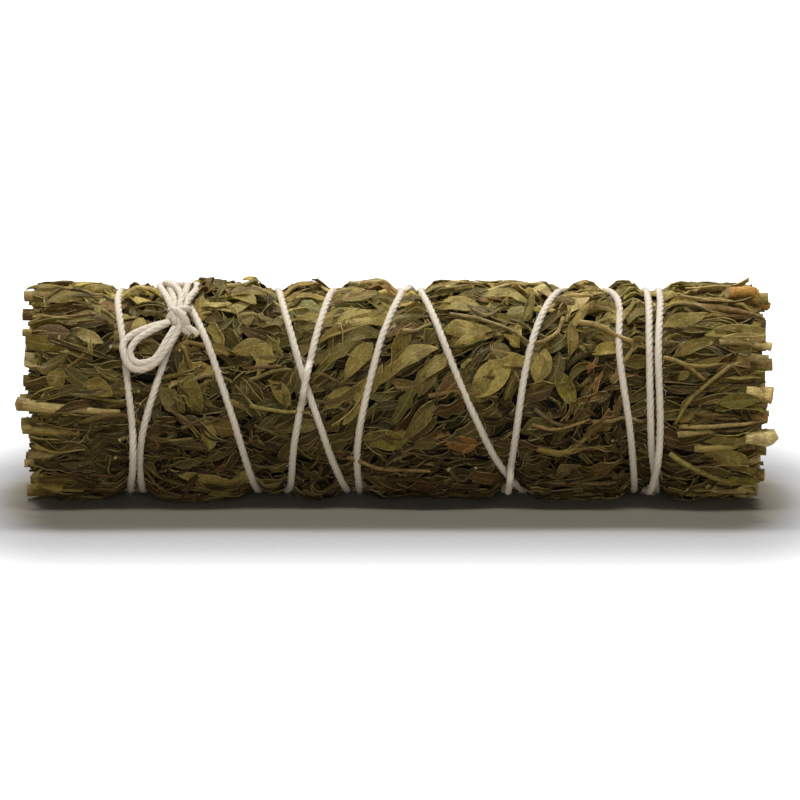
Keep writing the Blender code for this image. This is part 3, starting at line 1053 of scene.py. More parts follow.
@dataclass(frozen=True)
class MassFinish:
    """Leaf crumbs pressed together inside the bundle, painted near black as the shade in the gaps between
    the leaves.
    """

    name: str = "pressed_crumbs"
    dark: tuple[int, int, int] = (17, 12, 4)
    light: tuple[int, int, int] = (48, 36, 14)

    def make(self, effects: Effects) -> bpy.types.Material:
        """Make the material.

        Args:
            effects: The shared node groups.

        Returns:
            The material.
        """
        nodes, shader = new_material(self.name)
        spot = nodes.add("ShaderNodeTexCoord").outputs["Object"]
        mottle = nodes.group(effects.mottle, place=spot, blotch_size=700.0, speckle_size=2200.0,
                             wrinkle_size=600.0)
        body = nodes.mix(mottle.outputs["Blotch"], rgba(self.dark), rgba(self.light))
        grain = nodes.grey(mottle.outputs["Speckle"])
        nodes.tree.links.new(nodes.mix(1.0, body, grain, "MULTIPLY"), shader.inputs["Base Color"])
        nodes.tree.links.new(nodes.ramp(mottle.outputs["Speckle"], 0.7, 1.3, 0.75, 0.95),
                             shader.inputs["Roughness"])
        bump = nodes.add("ShaderNodeBump", {"Strength": 1.0, "Distance": 0.0004,
                                            "Height": mottle.outputs["Wrinkle"]})
        nodes.tree.links.new(bump.outputs[0], shader.inputs["Normal"])
        return bpy.data.materials[self.name]


@dataclass(frozen=True)
class CottonFinish:
    """Undyed cotton with fine fibres."""

    name: str = "cotton_string"
    light: tuple[int, int, int] = (246, 237, 220)
    dusty: tuple[int, int, int] = (214, 196, 164)
    dust_show: float = 0.4

    def make(self, effects: Effects) -> bpy.types.Material:
        """Make the material.

        Args:
            effects: The shared node groups.

        Returns:
            The material.
        """
        nodes, shader = new_material(self.name)
        spot = nodes.add("ShaderNodeTexCoord").outputs["Object"]
        mottle = nodes.group(effects.mottle, place=spot, blotch_size=260.0, speckle_size=5200.0,
                             wrinkle_size=3000.0)
        body = nodes.mix(nodes.share(mottle.outputs["Blotch"], self.dust_show), rgba(self.light),
                         rgba(self.dusty))
        grain = nodes.grey(nodes.ramp(mottle.outputs["Speckle"], 0.72, 1.26, 0.9, 1.05))
        nodes.tree.links.new(nodes.mix(1.0, body, grain, "MULTIPLY"), shader.inputs["Base Color"])
        nodes.tree.links.new(nodes.ramp(mottle.outputs["Wrinkle"], 0.0, 1.0, 0.8, 0.95),
                             shader.inputs["Roughness"])
        bump = nodes.add("ShaderNodeBump", {"Strength": 0.7, "Distance": 0.00008,
                                            "Height": mottle.outputs["Wrinkle"]})
        nodes.tree.links.new(bump.outputs[0], shader.inputs["Normal"])
        shader.inputs["Specular IOR Level"].default_value = 0.2
        shader.inputs["Sheen Weight"].default_value = 0.25
        shader.inputs["Sheen Roughness"].default_value = 0.5
        return bpy.data.materials[self.name]


@dataclass(frozen=True)
class Habit:
    """How the leaves lie in one part of the surface."""

    heading: float
    spread: float
    length: tuple[float, float]
    width: tuple[float, float]
    kinds: tuple[tuple[LeafKind, float], ...]
    tints: tuple[tuple[Tint, float], ...]


MIXED_KINDS = ((LeafKind.FLAT, 0.26), (LeafKind.FOLDED, 0.26), (LeafKind.ROLLED, 0.12),
               (LeafKind.CRUMPLED, 0.28), (LeafKind.LOBED, 0.08))
NARROW_KINDS = ((LeafKind.FLAT, 0.18), (LeafKind.FOLDED, 0.32), (LeafKind.ROLLED, 0.22),
                (LeafKind.CRUMPLED, 0.28))
CRUMB_KINDS = ((LeafKind.CRUMPLED, 0.5), (LeafKind.ROLLED, 0.25), (LeafKind.FOLDED, 0.25))
GREEN_TINTS = ((Tint.KHAKI, 0.34), (Tint.YELLOW_OLIVE, 0.18), (Tint.GREY_GREEN, 0.16), (Tint.GREEN, 0.14),
               (Tint.DARK_OLIVE, 0.10), (Tint.BROWN, 0.05), (Tint.TAN, 0.03))
BROWN_TINTS = ((Tint.KHAKI, 0.22), (Tint.YELLOW_OLIVE, 0.08), (Tint.GREEN, 0.10), (Tint.DARK_OLIVE, 0.24),
               (Tint.BROWN, 0.26), (Tint.ORANGE_BROWN, 0.05), (Tint.TAN, 0.05))
END_TINTS = ((Tint.KHAKI, 0.30), (Tint.YELLOW_OLIVE, 0.22), (Tint.GREEN, 0.16), (Tint.DARK_OLIVE, 0.14),
             (Tint.STRAW, 0.10), (Tint.BROWN, 0.08))
STALK_TINTS = ((Tint.STRAW, 0.36), (Tint.YELLOW_OLIVE, 0.34), (Tint.BARK, 0.18), (Tint.BROWN, 0.12))


def pick(table: tuple[tuple[object, float], ...], chance: np.random.Generator) -> object:
    """Choose from a table of things and shares."""
    shares = np.array([share for _, share in table])
    return table[int(chance.choice(len(table), p=shares / shares.sum()))][0]


def tinted(tint: Tint, chance: np.random.Generator,
           spread: float = 0.21) -> tuple[float, float, float, float]:
    """Return a tint a little lighter or darker, with a leaf's own random number as its alpha."""
    bright = math.exp(chance.normal(0, spread))
    warm = 1 + chance.normal(0, 0.04)
    red, green, blue = linear(tint.value)
    return (red * bright * warm, green * bright, blue * bright / warm, chance.uniform(0, 3))


@dataclass
class Foliage:
    """All of the sprigs: their leaves laid over each other, crumbs, stalks and cut ends."""

    bundle: Bundle
    bed: LeafBed
    materials: list[bpy.types.Material]
    ring_radii: tuple[float, ...] = (2.4, 6.4, 10.4, 15.1)
    ring_counts: tuple[int, ...] = (1, 6, 10, 14)
    ring_names: tuple[str, ...] = ("core", "inner", "middle", "outer")
    under_leaves: int = 1300
    cover_leaves: int = 1850
    crumbs: int = 620
    crumb_length: tuple[float, float] = (1.6, 3.6)
    crumb_width: tuple[float, float] = (0.6, 1.5)
    top_bright: float = 1.1
    # Leaves that lie deeper are painted darker per millimetre, down to a least brightness: painted shade in
    # the gaps between the leaves.
    depth_painted_shade: float = 0.38
    deepest_painted_shade: float = 0.22
    stalks: int = 200
    end_blades: int = 120
    end_blades_inside: int = 430
    end_stems: int = 46
    end_zone: float = 37.0
    cut: tuple[float, float] = (47.7, 50.0)
    stem_cut: tuple[float, float] = (49.4, 50.7)
    fine: Blank = field(init=False)
    plain: Blank = field(init=False)
    narrow: Blank = field(init=False)
    twig: Blank = field(init=False)
    slab: Blank = field(init=False)
    growths: dict[str, Growth] = field(default_factory=dict)

    def __post_init__(self) -> None:
        """Make the blanks and an empty growth for each sprig."""
        self.fine = Blank.leaf("fine_blank", 16, 8)
        self.plain = Blank.leaf("plain_blank", 8, 4)
        self.narrow = Blank.leaf("narrow_blank", 6, 2)
        self.twig = Blank.rod("twig_blank", 8, 5)
        self.slab = Blank.leaf("slab_blank", 56, 6)
        for polygon in self.slab.mesh.polygons:
            polygon.material_index = Slot.MASS.value
        for ring, count in enumerate(self.ring_counts):
            for index in range(count):
                name = self.sprig_name(ring, index)
                self.growths[name] = Growth(name)

    def sprig_name(self, ring: int, index: int) -> str:
        """Return the name of a sprig."""
        return "sprig_core" if ring == 0 else f"sprig_{self.ring_names[ring]}_{index + 1:02d}"

    def owner(self, radius: float, angle: float) -> Growth:
        """Return the sprig whose place holds a point of the bundle.

        Args:
            radius: Distance from the axis.
            angle: Angle round it, in degrees.

        Returns:
            The sprig's growth.
        """
        ring = next((k for k, limit in enumerate(self.ring_radii) if radius <= limit), 3)
        spacing = 360 / self.ring_counts[ring]
        index = int(((angle + 90 + spacing / 2) % 360) // spacing) % self.ring_counts[ring]
        return self.growths[self.sprig_name(ring, index)]

    def habit(self, x: float, angle: float) -> Habit:
        """Find how the leaves lie at a place on the surface.

        Args:
            x: The place along the bundle.
            angle: The angle round it.

        Returns:
            Their habit there.
        """
        angle = (angle + 180) % 360 - 180
        low = -165 < angle < -15
        tints = BROWN_TINTS if low else GREEN_TINTS
        if abs(x) > self.end_zone + 1.5:
            return Habit(0, 17, (4.5, 9), (1.2, 2.6), NARROW_KINDS, END_TINTS)
        if 21.5 < x < 32 and -40 < angle < 20:
            return Habit(45, 40, (2.6, 5), (0.9, 2.0), CRUMB_KINDS, BROWN_TINTS)
        if low:
            return Habit(3, 30, (3.6, 7), (1.4, 3.0), NARROW_KINDS, tints)
        if -13 < x < 12:
            lean = 40 if angle < 48 else 8
            return Habit(lean, 20, (4.4, 8.2), (1.6, 3.1), MIXED_KINDS, tints)
        if x < -13:
            return Habit(-18 if x < -20 else 20, 42, (3.8, 7.4), (1.5, 3.1), MIXED_KINDS, tints)
        if x > 24:
            return Habit(8, 26, (4.6, 8.6), (1.3, 2.8), NARROW_KINDS, END_TINTS)
        return Habit(24, 40, (4, 7.5), (1.4, 2.9), MIXED_KINDS, tints)

    def painted_height_shade(self, angle: float) -> float:
        """Return how light the leaves are painted at an angle: darker towards the bottom, partly as older
        browner leaves and partly as painted shade, and lighter at the very top as a painted highlight.
        """
        up = math.sin(math.radians(angle))
        return 0.26 + 0.75 * ((1 + up) / 2) ** 2.2 + 0.35 * float(smoothstep(np.array((up - 0.8) / 0.2)))

    def coloured(self, tints: tuple[tuple[Tint, float], ...], angle: float, chance: np.random.Generator,
                 dim: float = 1.0) -> tuple[float, float, float, float]:
        """Choose a colour as it is painted at an angle, with the painted shade and highlight of its height.

        Args:
            tints: The tints to choose from.
            angle: The angle round the bundle.
            chance: Where the choice comes from.
            dim: How bright it is beside its tint.

        Returns:
            The colour, with the leaf's own random number as its alpha.
        """
        red, green, blue, own = tinted(pick(tints, chance), chance)
        # Painted shade towards the bottom and a painted highlight at the very top.
        shade = dim * self.painted_height_shade(angle)
        return red * shade, green * shade, blue * shade, own

    def lay_leaves(self, count: int, chance: np.random.Generator, scale: float, blank: Blank,
                   tries: int, dim: float, drops: tuple[float, float]) -> None:
        """Lay leaves where the heap is lowest, each as its neighbours lie.

        Args:
            count: How many.
            chance: Where their places and bends come from.
            scale: Their size beside the habit's.
            blank: The blank they are bent from.
            tries: How many places are compared for each.
            dim: How bright they are beside their tint.
            drops: The least and most that their middles lie under the free surface.
        """
        reach = self.end_zone + 9
        for _ in range(count):
            xs = chance.uniform(-reach, reach, tries)
            angles = chance.uniform(0, 360, tries)
            best = self.bed.lowest(xs, angles)
            x, angle = float(xs[best]), float(angles[best])
            habit = self.habit(x, angle)
            length = chance.uniform(*habit.length) * scale
            width = chance.uniform(*habit.width) * scale
            leaf = Leaf.grown(pick(habit.kinds, chance), length, width, chance)
            heading = chance.normal(habit.heading, habit.spread) + 180 * int(chance.integers(0, 2))
            x = float(np.clip(x, -49.3 + length * 0.47, 49.3 - length * 0.47)) if abs(x) > 42 else x
            drop = chance.uniform(*drops)
            # Painted shade: the deeper a leaf lies, the darker it is painted.
            bright = max(self.top_bright - self.depth_painted_shade * max(drop, 0.0), self.deepest_painted_shade)
            colour = self.coloured(habit.tints, angle, chance, dim * bright)
            points = self.bed.lay(blank, leaf, x, angle, heading, chance.uniform(0.35, 0.95), drop)
            self.owner(14, angle).add(blank, points, colour)

    def lay_crumbs(self, chance: np.random.Generator) -> None:
        """Scatter small broken and shrivelled leaves over the surface.

        Args:
            chance: Where their places and bends come from.
        """
        for _ in range(self.crumbs):
            xs = chance.uniform(-48.6, 48.6, 3)
            angles = chance.uniform(0, 360, 3)
            best = self.bed.lowest(xs, angles)
            x, angle = float(xs[best]), float(angles[best])
            leaf = Leaf.grown(pick(CRUMB_KINDS, chance), chance.uniform(*self.crumb_length),
                              chance.uniform(*self.crumb_width), chance)
            habit = self.habit(x, angle)
            points = self.bed.lay(self.narrow, leaf, x, angle, chance.uniform(0, 360))
            colour = self.coloured(habit.tints, angle, chance, self.top_bright)
            self.owner(14, angle).add(self.narrow, points, colour)

    def lay_stalk(self, growth: Growth, places: list[tuple[float, float]], radius: float,
                  tint: tuple[float, float, float, float], over: float = 0.5,
                  taper: tuple[float, float] = (1.15, 0.8), lift: float = 0.0) -> None:
        """Lay a stalk on the heap.

        Args:
            growth: The sprig that it belongs to.
            places: Places along the bundle and angles that it goes through.
            radius: Its radius in the middle.
            tint: Its colour and own random number.
            over: How far its middle may stand over the pressed surface.
            taper: Its shares of that radius at its two ends.
            lift: How far its last part bends out of the bundle.
        """
        count = self.twig.shape[0]
        spots = np.linspace(0, len(places) - 1, count)
        x = np.array([hermite([(k, p[0]) for k, p in enumerate(places)], float(s)) for s in spots])
        angle = np.array([hermite([(k, p[1]) for k, p in enumerate(places)], float(s)) for s in spots])
        high = self.bundle.sample(self.bed.height, x, angle)
        padded = np.pad(high, 1, mode="edge")
        high = np.maximum(high, (padded[:-2] + padded[2:]) / 2)
        free = self.bundle.sample(self.bundle.free, x, angle)
        seat = np.minimum(high + radius * 0.8, free + over)
        seat = seat + lift * smoothstep(np.linspace(-1, 1, count))
        line = self.bundle.place(x, angle, seat)
        widths = radius * np.linspace(*taper, count)
        growth.add(self.twig, round_rod(self.twig, line, widths), tint)
        self.bed.mark(x[:, None], angle[:, None], (seat + radius)[:, None])

    def lay_stalks(self, chance: np.random.Generator) -> None:
        """Scatter thin stalks over the surface, mostly along the bundle.

        Args:
            chance: Where their places and bends come from.
        """
        for _ in range(self.stalks):
            x, angle = chance.uniform(-45, 45), chance.uniform(0, 360)
            length = chance.uniform(3, 11)
            heading = math.radians(chance.normal(0, 20 if abs(x) < self.end_zone else 6))
            bow = chance.normal(0, 4)
            ends = [(x + s * length / 2 * math.cos(heading),
                     angle + math.degrees(s * length / 2 * math.sin(heading) / 14.6) + bow * (1 - s * s))
                    for s in (-1, 0, 1)]
            ends = [(float(np.clip(px, -49.4, 49.4)), pa) for px, pa in ends]
            self.lay_stalk(self.owner(14, angle), ends, chance.uniform(0.14, 0.36),
                           self.coloured(STALK_TINTS, angle, chance, self.top_bright), 0.3)

    def lay_end_blades(self, chance: np.random.Generator) -> None:
        """Lay long cut blades along the bundle at both ends of its surface.

        Args:
            chance: Where their places and bends come from.
        """
        for end in (-1, 1):
            for _ in range(self.end_blades):
                angles = chance.uniform(0, 360, 4)
                length = chance.uniform(5, 11.5)
                cut = chance.uniform(*self.cut)
                x = end * (cut - length / 2)
                best = self.bed.lowest(np.full(4, x + end * length * 0.3), angles)
                angle = float(angles[best])
                leaf = Leaf.grown(LeafKind.BLADE, length, chance.uniform(0.6, 1.5), chance)
                heading = (0 if end > 0 else 180) + chance.normal(0, 8)
                points = self.bed.lay(self.plain, leaf, x, angle, heading)
                colour = self.coloured(END_TINTS, angle, chance, self.top_bright)
                self.owner(14, angle).add(self.plain, points, colour)

    def fill_end(self, end: int, chance: np.random.Generator) -> None:
        """Fill one cut end with the ends of folded leaves and stems.

        Args:
            end: -1 for the left end, 1 for the right.
            chance: Where their places and bends come from.
        """
        total = self.end_blades_inside
        for k in range(total):
            radius = 14.3 * math.sqrt((k + 0.5) / total) + chance.normal(0, 0.2)
            angle = math.degrees(k * 2.39996) + chance.normal(0, 3)
            leaf = Leaf.grown(LeafKind.BLADE, chance.uniform(5, 9), chance.uniform(1.4, 3.2), chance)
            leaf.arch, leaf.pitch = 0.1, chance.normal(0, 2)
            along = np.linspace(0, 1, self.narrow.shape[0])
            across = np.linspace(-1, 1, self.narrow.shape[1])
            a, b, c = leaf.bend(along[:, None], across[None, :])
            cut = chance.uniform(*self.cut) - 0.3
            turn = chance.uniform(0, math.tau)
            y0 = -radius * math.cos(math.radians(angle))
            z0 = self.bundle.axis + radius * math.sin(math.radians(angle))
            grid = np.stack([end * (cut - leaf.length / 2 + a), y0 + b * math.cos(turn) - c * math.sin(turn),
                             z0 + b * math.sin(turn) + c * math.cos(turn)], axis=-1)
            grid[..., 2] = np.maximum(grid[..., 2], 0.05)
            tint = tinted(pick(END_TINTS, chance), chance, 0.2)
            self.owner(radius, angle).add(self.narrow, thicken(self.narrow, grid, leaf.thickness), tint)
        for k in range(self.end_stems):
            radius = 14.0 * math.sqrt((k + 0.6) / self.end_stems)
            angle = math.degrees(k * 2.39996 + 1.1) + chance.normal(0, 8)
            thick = chance.uniform(0.45, 1.0)
            radius = min(radius, 14.4 - thick)
            cut = chance.uniform(*self.stem_cut)
            xs = end * np.linspace(cut - chance.uniform(7, 13), cut, self.twig.shape[0])
            wander = np.cumsum(chance.normal(0, 0.08, (2, self.twig.shape[0])), axis=1)
            y0 = -radius * math.cos(math.radians(angle))
            z0 = max(self.bundle.axis + radius * math.sin(math.radians(angle)), thick + 0.1)
            line = np.column_stack([xs, y0 + wander[0], z0 + wander[1]])
            tint = tinted(pick(STALK_TINTS, chance), chance)
            rod = round_rod(self.twig, line, np.full(len(xs), thick))
            self.owner(radius, angle).add(self.twig, rod, tint)

    def press_masses(self, chance: np.random.Generator) -> None:
        """Make the pressed crumbs inside each sprig, under its leaves.

        Args:
            chance: Where their roughness comes from.
        """
        along = np.linspace(-1, 1, self.slab.shape[0])
        for ring, count in enumerate(self.ring_counts):
            spacing = 360 / count
            for index in range(count):
                low = -90 - spacing / 2 + index * spacing
                angle = low + spacing * np.linspace(0.0, 1.0, self.slab.shape[1])
                ends = (chance.uniform(45.6, 46.8), chance.uniform(45.6, 46.8))
                x = np.where(along < 0, along * ends[0], along * ends[1])
                grid_x, grid_angle = np.meshgrid(x, angle, indexing="ij")
                rough = chance.uniform(-0.45, 0.45, grid_x.shape)
                if ring == 3:
                    outer = self.bundle.sample(self.bundle.free, grid_x, grid_angle)
                    outer = outer - self.bed.depth - 0.2 + rough
                else:
                    outer = np.full(grid_x.shape, self.ring_radii[ring]) + rough * 0.5
                inner = np.full(grid_x.shape, self.ring_radii[ring - 1] if ring else 0.25)
                top = self.bundle.place(grid_x, grid_angle, outer)
                bottom = self.bundle.place(grid_x, grid_angle, inner)
                upper = (self.slab.side > 0)[:, None]
                spot = (self.slab.station, self.slab.around)
                points = np.where(upper, top[spot], bottom[spot])
                self.growths[self.sprig_name(ring, index)].add(self.slab, points, (0.05, 0.04, 0.02, 0.0))

    def grow(self) -> None:
        """Lay everything, from the inside outwards."""
        chance = np.random.default_rng(SEED + 1)
        self.press_masses(chance)
        # The under leaves are painted darker than the cover leaves, as painted shade under them.
        self.lay_leaves(self.under_leaves, chance, 0.95, self.narrow, 6, 0.85, (1.5, 2.6))
        self.lay_end_blades(chance)
        self.lay_leaves(self.cover_leaves, chance, 1.0, self.plain, 4, 0.98, (-0.3, 2.2))
        self.lay_crumbs(chance)
        self.lay_stalks(chance)
        for end in (-1, 1):
            self.fill_end(end, chance)

    def build(self) -> None:
        """Make a piece of each sprig."""
        for name, growth in self.growths.items():
            piece = growth.build(self.materials)
            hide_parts(name)
            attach(piece, BODY)
            LOG.info("%s: %d leaves and stalks, %d faces", name, len(growth.blanks),
                     len(piece.data.polygons))


@dataclass(frozen=True)
class Chosen:
    """A grown leaf with a place of its own: where, which way, how big, how shrunk and its colour."""

    x: float
    angle: float
    heading: float
    length: float
    width: float
    kind: LeafKind
    tint: Tint
    bright: float = 1.0


@dataclass
class TopLeaves:
    """The large leaves and long stalks on top of the heap, which still belong to their sprigs."""

    foliage: Foliage
    over: float = 0.9
    bright: float = 0.88
    leaves: tuple[Chosen, ...] = (
        Chosen(-48.0, 80, -8, 5.4, 2.0, LeafKind.FOLDED, Tint.KHAKI),
        Chosen(-44.6, 66, 4, 6.4, 2.4, LeafKind.FLAT, Tint.KHAKI, 0.9),
        Chosen(-46.4, 41, -6, 5.8, 2.8, LeafKind.FLAT, Tint.BROWN, 0.8),
        Chosen(-45.5, 15, 60, 3.2, 2.6, LeafKind.CRUMPLED, Tint.KHAKI, 0.9),
        Chosen(-40.2, 12, -5, 5.0, 2.5, LeafKind.FLAT, Tint.KHAKI, 0.85),
        Chosen(-43.0, 30, -30, 4.6, 2.4, LeafKind.FOLDED, Tint.GREEN, 0.8),
        Chosen(-30.1, 5, -50, 5.2, 2.7, LeafKind.FLAT, Tint.GREY_GREEN, 0.95),
        Chosen(-25.1, -13, -82, 4.9, 2.1, LeafKind.FLAT, Tint.YELLOW_OLIVE, 0.75),
        Chosen(-23.8, 43, -62, 4.6, 2.4, LeafKind.FLAT, Tint.YELLOW_OLIVE, 0.95),
        Chosen(-22.0, 60, 14, 6.6, 2.4, LeafKind.FLAT, Tint.YELLOW_OLIVE, 1.0),
        Chosen(-20.4, 72, 6, 7.4, 2.6, LeafKind.FLAT, Tint.KHAKI, 1.0),
        Chosen(-17.9, 25, 76, 5.2, 3.0, LeafKind.LOBED, Tint.YELLOW_OLIVE, 1.05),
        Chosen(-19.6, 33, 196, 5.0, 2.6, LeafKind.FLAT, Tint.KHAKI, 1.0),
        Chosen(-15.4, 9, -50, 4.6, 2.3, LeafKind.FLAT, Tint.KHAKI, 0.9),
        Chosen(-9.6, 55, 4, 9.4, 2.2, LeafKind.FLAT, Tint.YELLOW_OLIVE, 1.0),
        Chosen(-4.8, 48, 13, 8.8, 2.3, LeafKind.FLAT, Tint.YELLOW_OLIVE, 1.05),
        Chosen(-8.2, 41, 20, 7.4, 2.1, LeafKind.FOLDED, Tint.KHAKI, 1.05),
        Chosen(-6.0, 66, -4, 7.4, 2.3, LeafKind.FLAT, Tint.KHAKI, 1.0),
        Chosen(-2.2, 80, 0, 4.8, 2.3, LeafKind.CRUMPLED, Tint.ORANGE_BROWN, 1.05),
        Chosen(-5.1, 26, 54, 6.6, 2.4, LeafKind.FLAT, Tint.YELLOW_OLIVE, 0.95),
        Chosen(1.9, 28, 34, 8.0, 2.4, LeafKind.FLAT, Tint.YELLOW_OLIVE, 0.95),
        Chosen(-0.4, 20, 38, 6.6, 2.2, LeafKind.FOLDED, Tint.KHAKI, 1.0),
        Chosen(4.6, 20, 46, 6.8, 2.4, LeafKind.FLAT, Tint.KHAKI, 0.9),
        Chosen(7.4, 12, 44, 6.0, 2.8, LeafKind.FLAT, Tint.BROWN, 1.0),
        Chosen(-8.2, 5, 40, 5.4, 2.1, LeafKind.FLAT, Tint.KHAKI, 0.95),
        Chosen(-6.2, -2, 44, 6.2, 2.2, LeafKind.FOLDED, Tint.YELLOW_OLIVE, 0.85),
        Chosen(-5.2, 7, 50, 6.2, 2.2, LeafKind.FLAT, Tint.KHAKI, 1.0),
        Chosen(6.3, 65, -36, 5.4, 2.5, LeafKind.FLAT, Tint.YELLOW_OLIVE, 1.0),
        Chosen(10.7, 42, 173, 8.8, 2.9, LeafKind.FLAT, Tint.YELLOW_OLIVE, 1.1),
        Chosen(19.4, 22, 75, 5.2, 3.2, LeafKind.FOLDED, Tint.YELLOW_OLIVE, 1.0),
        Chosen(13.6, 20, 46, 7.6, 3.8, LeafKind.FLAT, Tint.YELLOW_OLIVE, 1.1),
        Chosen(15.6, 24, 10, 5.4, 3.2, LeafKind.FOLDED, Tint.YELLOW_OLIVE, 1.15),
        Chosen(24.6, -1, 60, 4.4, 1.2, LeafKind.ROLLED, Tint.BROWN, 1.1),
        Chosen(22.8, -6, 50, 4.8, 1.3, LeafKind.CRUMPLED, Tint.BROWN, 1.0),
        Chosen(26.8, 12, 74, 4.2, 1.1, LeafKind.CRUMPLED, Tint.ORANGE_BROWN, 0.9),
        Chosen(29.6, -2, 66, 5.0, 1.3, LeafKind.ROLLED, Tint.BROWN, 0.9),
        Chosen(20.1, 82, 0, 3.2, 2.4, LeafKind.FLAT, Tint.TAN, 0.95),
        Chosen(23.6, 37, 85, 5.8, 1.9, LeafKind.FOLDED, Tint.KHAKI, 0.95),
        Chosen(26.0, 22, 60, 1.6, 0.9, LeafKind.CRUMPLED, Tint.ORANGE_BROWN, 1.5),
        Chosen(27.8, 62, -12, 5.6, 2.4, LeafKind.FOLDED, Tint.KHAKI, 1.0),
        Chosen(25.9, 5, 20, 5.2, 2.2, LeafKind.CRUMPLED, Tint.BROWN, 1.1),
        Chosen(27.3, -9, 35, 5.6, 1.8, LeafKind.CRUMPLED, Tint.BROWN, 1.0),
        Chosen(25.4, -23, 10, 6.4, 1.8, LeafKind.ROLLED, Tint.BROWN, 0.9),
        Chosen(28.1, -33, 30, 5.4, 2.0, LeafKind.CRUMPLED, Tint.BROWN, 0.9),
        Chosen(5.2, -16, 20, 5.2, 2.6, LeafKind.CRUMPLED, Tint.BROWN, 1.25),
        Chosen(9.2, -20, 170, 6.0, 2.4, LeafKind.CRUMPLED, Tint.ORANGE_BROWN, 0.8),
        Chosen(38.6, 50, 12, 7.4, 2.4, LeafKind.FLAT, Tint.YELLOW_OLIVE, 0.95),
        Chosen(43.0, 44, -10, 7.6, 2.2, LeafKind.FOLDED, Tint.GREEN, 1.0),
        Chosen(39.4, 33, 24, 6.4, 2.2, LeafKind.FLAT, Tint.KHAKI, 0.9),
        Chosen(45.2, 4, 6, 7.0, 2.4, LeafKind.FOLDED, Tint.GREEN, 0.95),
        Chosen(43.8, -26, -14, 7.0, 2.4, LeafKind.FLAT, Tint.YELLOW_OLIVE, 0.8),
    )
    stalks: tuple[tuple[float, Tint, tuple[tuple[float, float], ...]], ...] = (
        (0.20, Tint.STRAW, ((-49.6, 56), (-45.2, 51), (-40.4, 52))),
        (0.24, Tint.YELLOW_OLIVE, ((-49.4, 73), (-44.0, 71), (-40.2, 67))),
        (0.26, Tint.YELLOW_OLIVE, ((-19.5, 2), (-15.5, -1), (-11.5, -3))),
        (0.26, Tint.STRAW, ((7.3, 54), (14.0, 45), (18.0, 37))),
        (0.32, Tint.STRAW, ((22.6, 54), (21.7, 44), (20.4, 38), (18.4, 37))),
        (0.38, Tint.STRAW, ((24.7, 47), (29.0, 43), (31.8, 35), (30.6, 26))),
        (0.22, Tint.TAN, ((38.4, 67), (41.4, 65), (44.8, 62))),
        (0.24, Tint.STRAW, ((37.6, 61), (40.6, 60), (44.4, 57))),
        (0.32, Tint.YELLOW_OLIVE, ((35.9, 28), (38.7, 23), (41.3, 15))),
        (0.24, Tint.YELLOW_OLIVE, ((38.7, 23), (41.6, 22), (44.6, 25))),
        (0.30, Tint.YELLOW_OLIVE, ((49.6, 29), (45.1, 23), (39.3, 5), (37.5, -8))),
        (0.30, Tint.STRAW, ((38.0, -10), (43.6, -8), (49.6, -7))),
        (0.36, Tint.YELLOW_OLIVE, ((36.8, -26), (42.6, -40), (49.3, -62))),
        (0.80, Tint.AMBER, ((44.8, 70), (47.6, 73), (50.6, 76))),
        (0.42, Tint.STRAW, ((43.4, 36), (46.6, 37), (49.8, 36))),
        (0.45, Tint.YELLOW_OLIVE, ((40.0, -20), (45.0, -20), (49.6, -21))),
        (0.30, Tint.BARK, ((-6.6, -32), (-1.0, -36), (4.6, -34))),
        (0.24, Tint.BARK, ((18.2, -8), (21.6, -11), (26.0, -6))),
    )

    stubs: tuple[tuple[float, float, float], ...] = ((1.2, 8.0, 0.6), (1.15, -17.0, 0.6), (0.6, 38.0, 0.3))

    def lay_stubs(self, chance: np.random.Generator) -> None:
        """Lay the thick stalks whose cut ends turn out of the right end.

        Args:
            chance: Where their colours come from.
        """
        for radius, angle, lift in self.stubs:
            places = [(46.8, angle + 1), (48.6, angle), (50.5, angle - 1)]
            self.foliage.lay_stalk(self.foliage.owner(14, angle), places, radius,
                                   tinted(Tint.CREAM, chance, 0.05), -0.3, (0.7, 1.05), lift)

    def lay_all(self) -> None:
        """Lay each leaf and stalk on the heap, in the growth of the sprig under it."""
        chance = np.random.default_rng(SEED + 5)
        foliage = self.foliage
        for chosen in self.leaves:
            leaf = Leaf.grown(chosen.kind, chosen.length, chosen.width, chance)
            leaf.pitch, leaf.roll, leaf.twist = leaf.pitch * 0.4, leaf.roll * 0.6, leaf.twist * 0.6
            points = foliage.bed.lay(foliage.fine, leaf, chosen.x, chosen.angle, chosen.heading,
                                     self.over, 0.0)
            colour = tuple(part * chosen.bright * self.bright for part in linear(chosen.tint.value))
            foliage.owner(14, chosen.angle).add(foliage.fine, points, (*colour, chance.uniform(0, 3)))
        for radius, tint, places in self.stalks:
            middle = places[len(places) // 2]
            foliage.lay_stalk(foliage.owner(14, middle[1]), list(places), radius,
                              tinted(tint, chance, 0.05), 0.8)
        self.lay_stubs(chance)
        LOG.info("top of the heap: %d leaves and %d stalks", len(self.leaves), len(self.stalks))


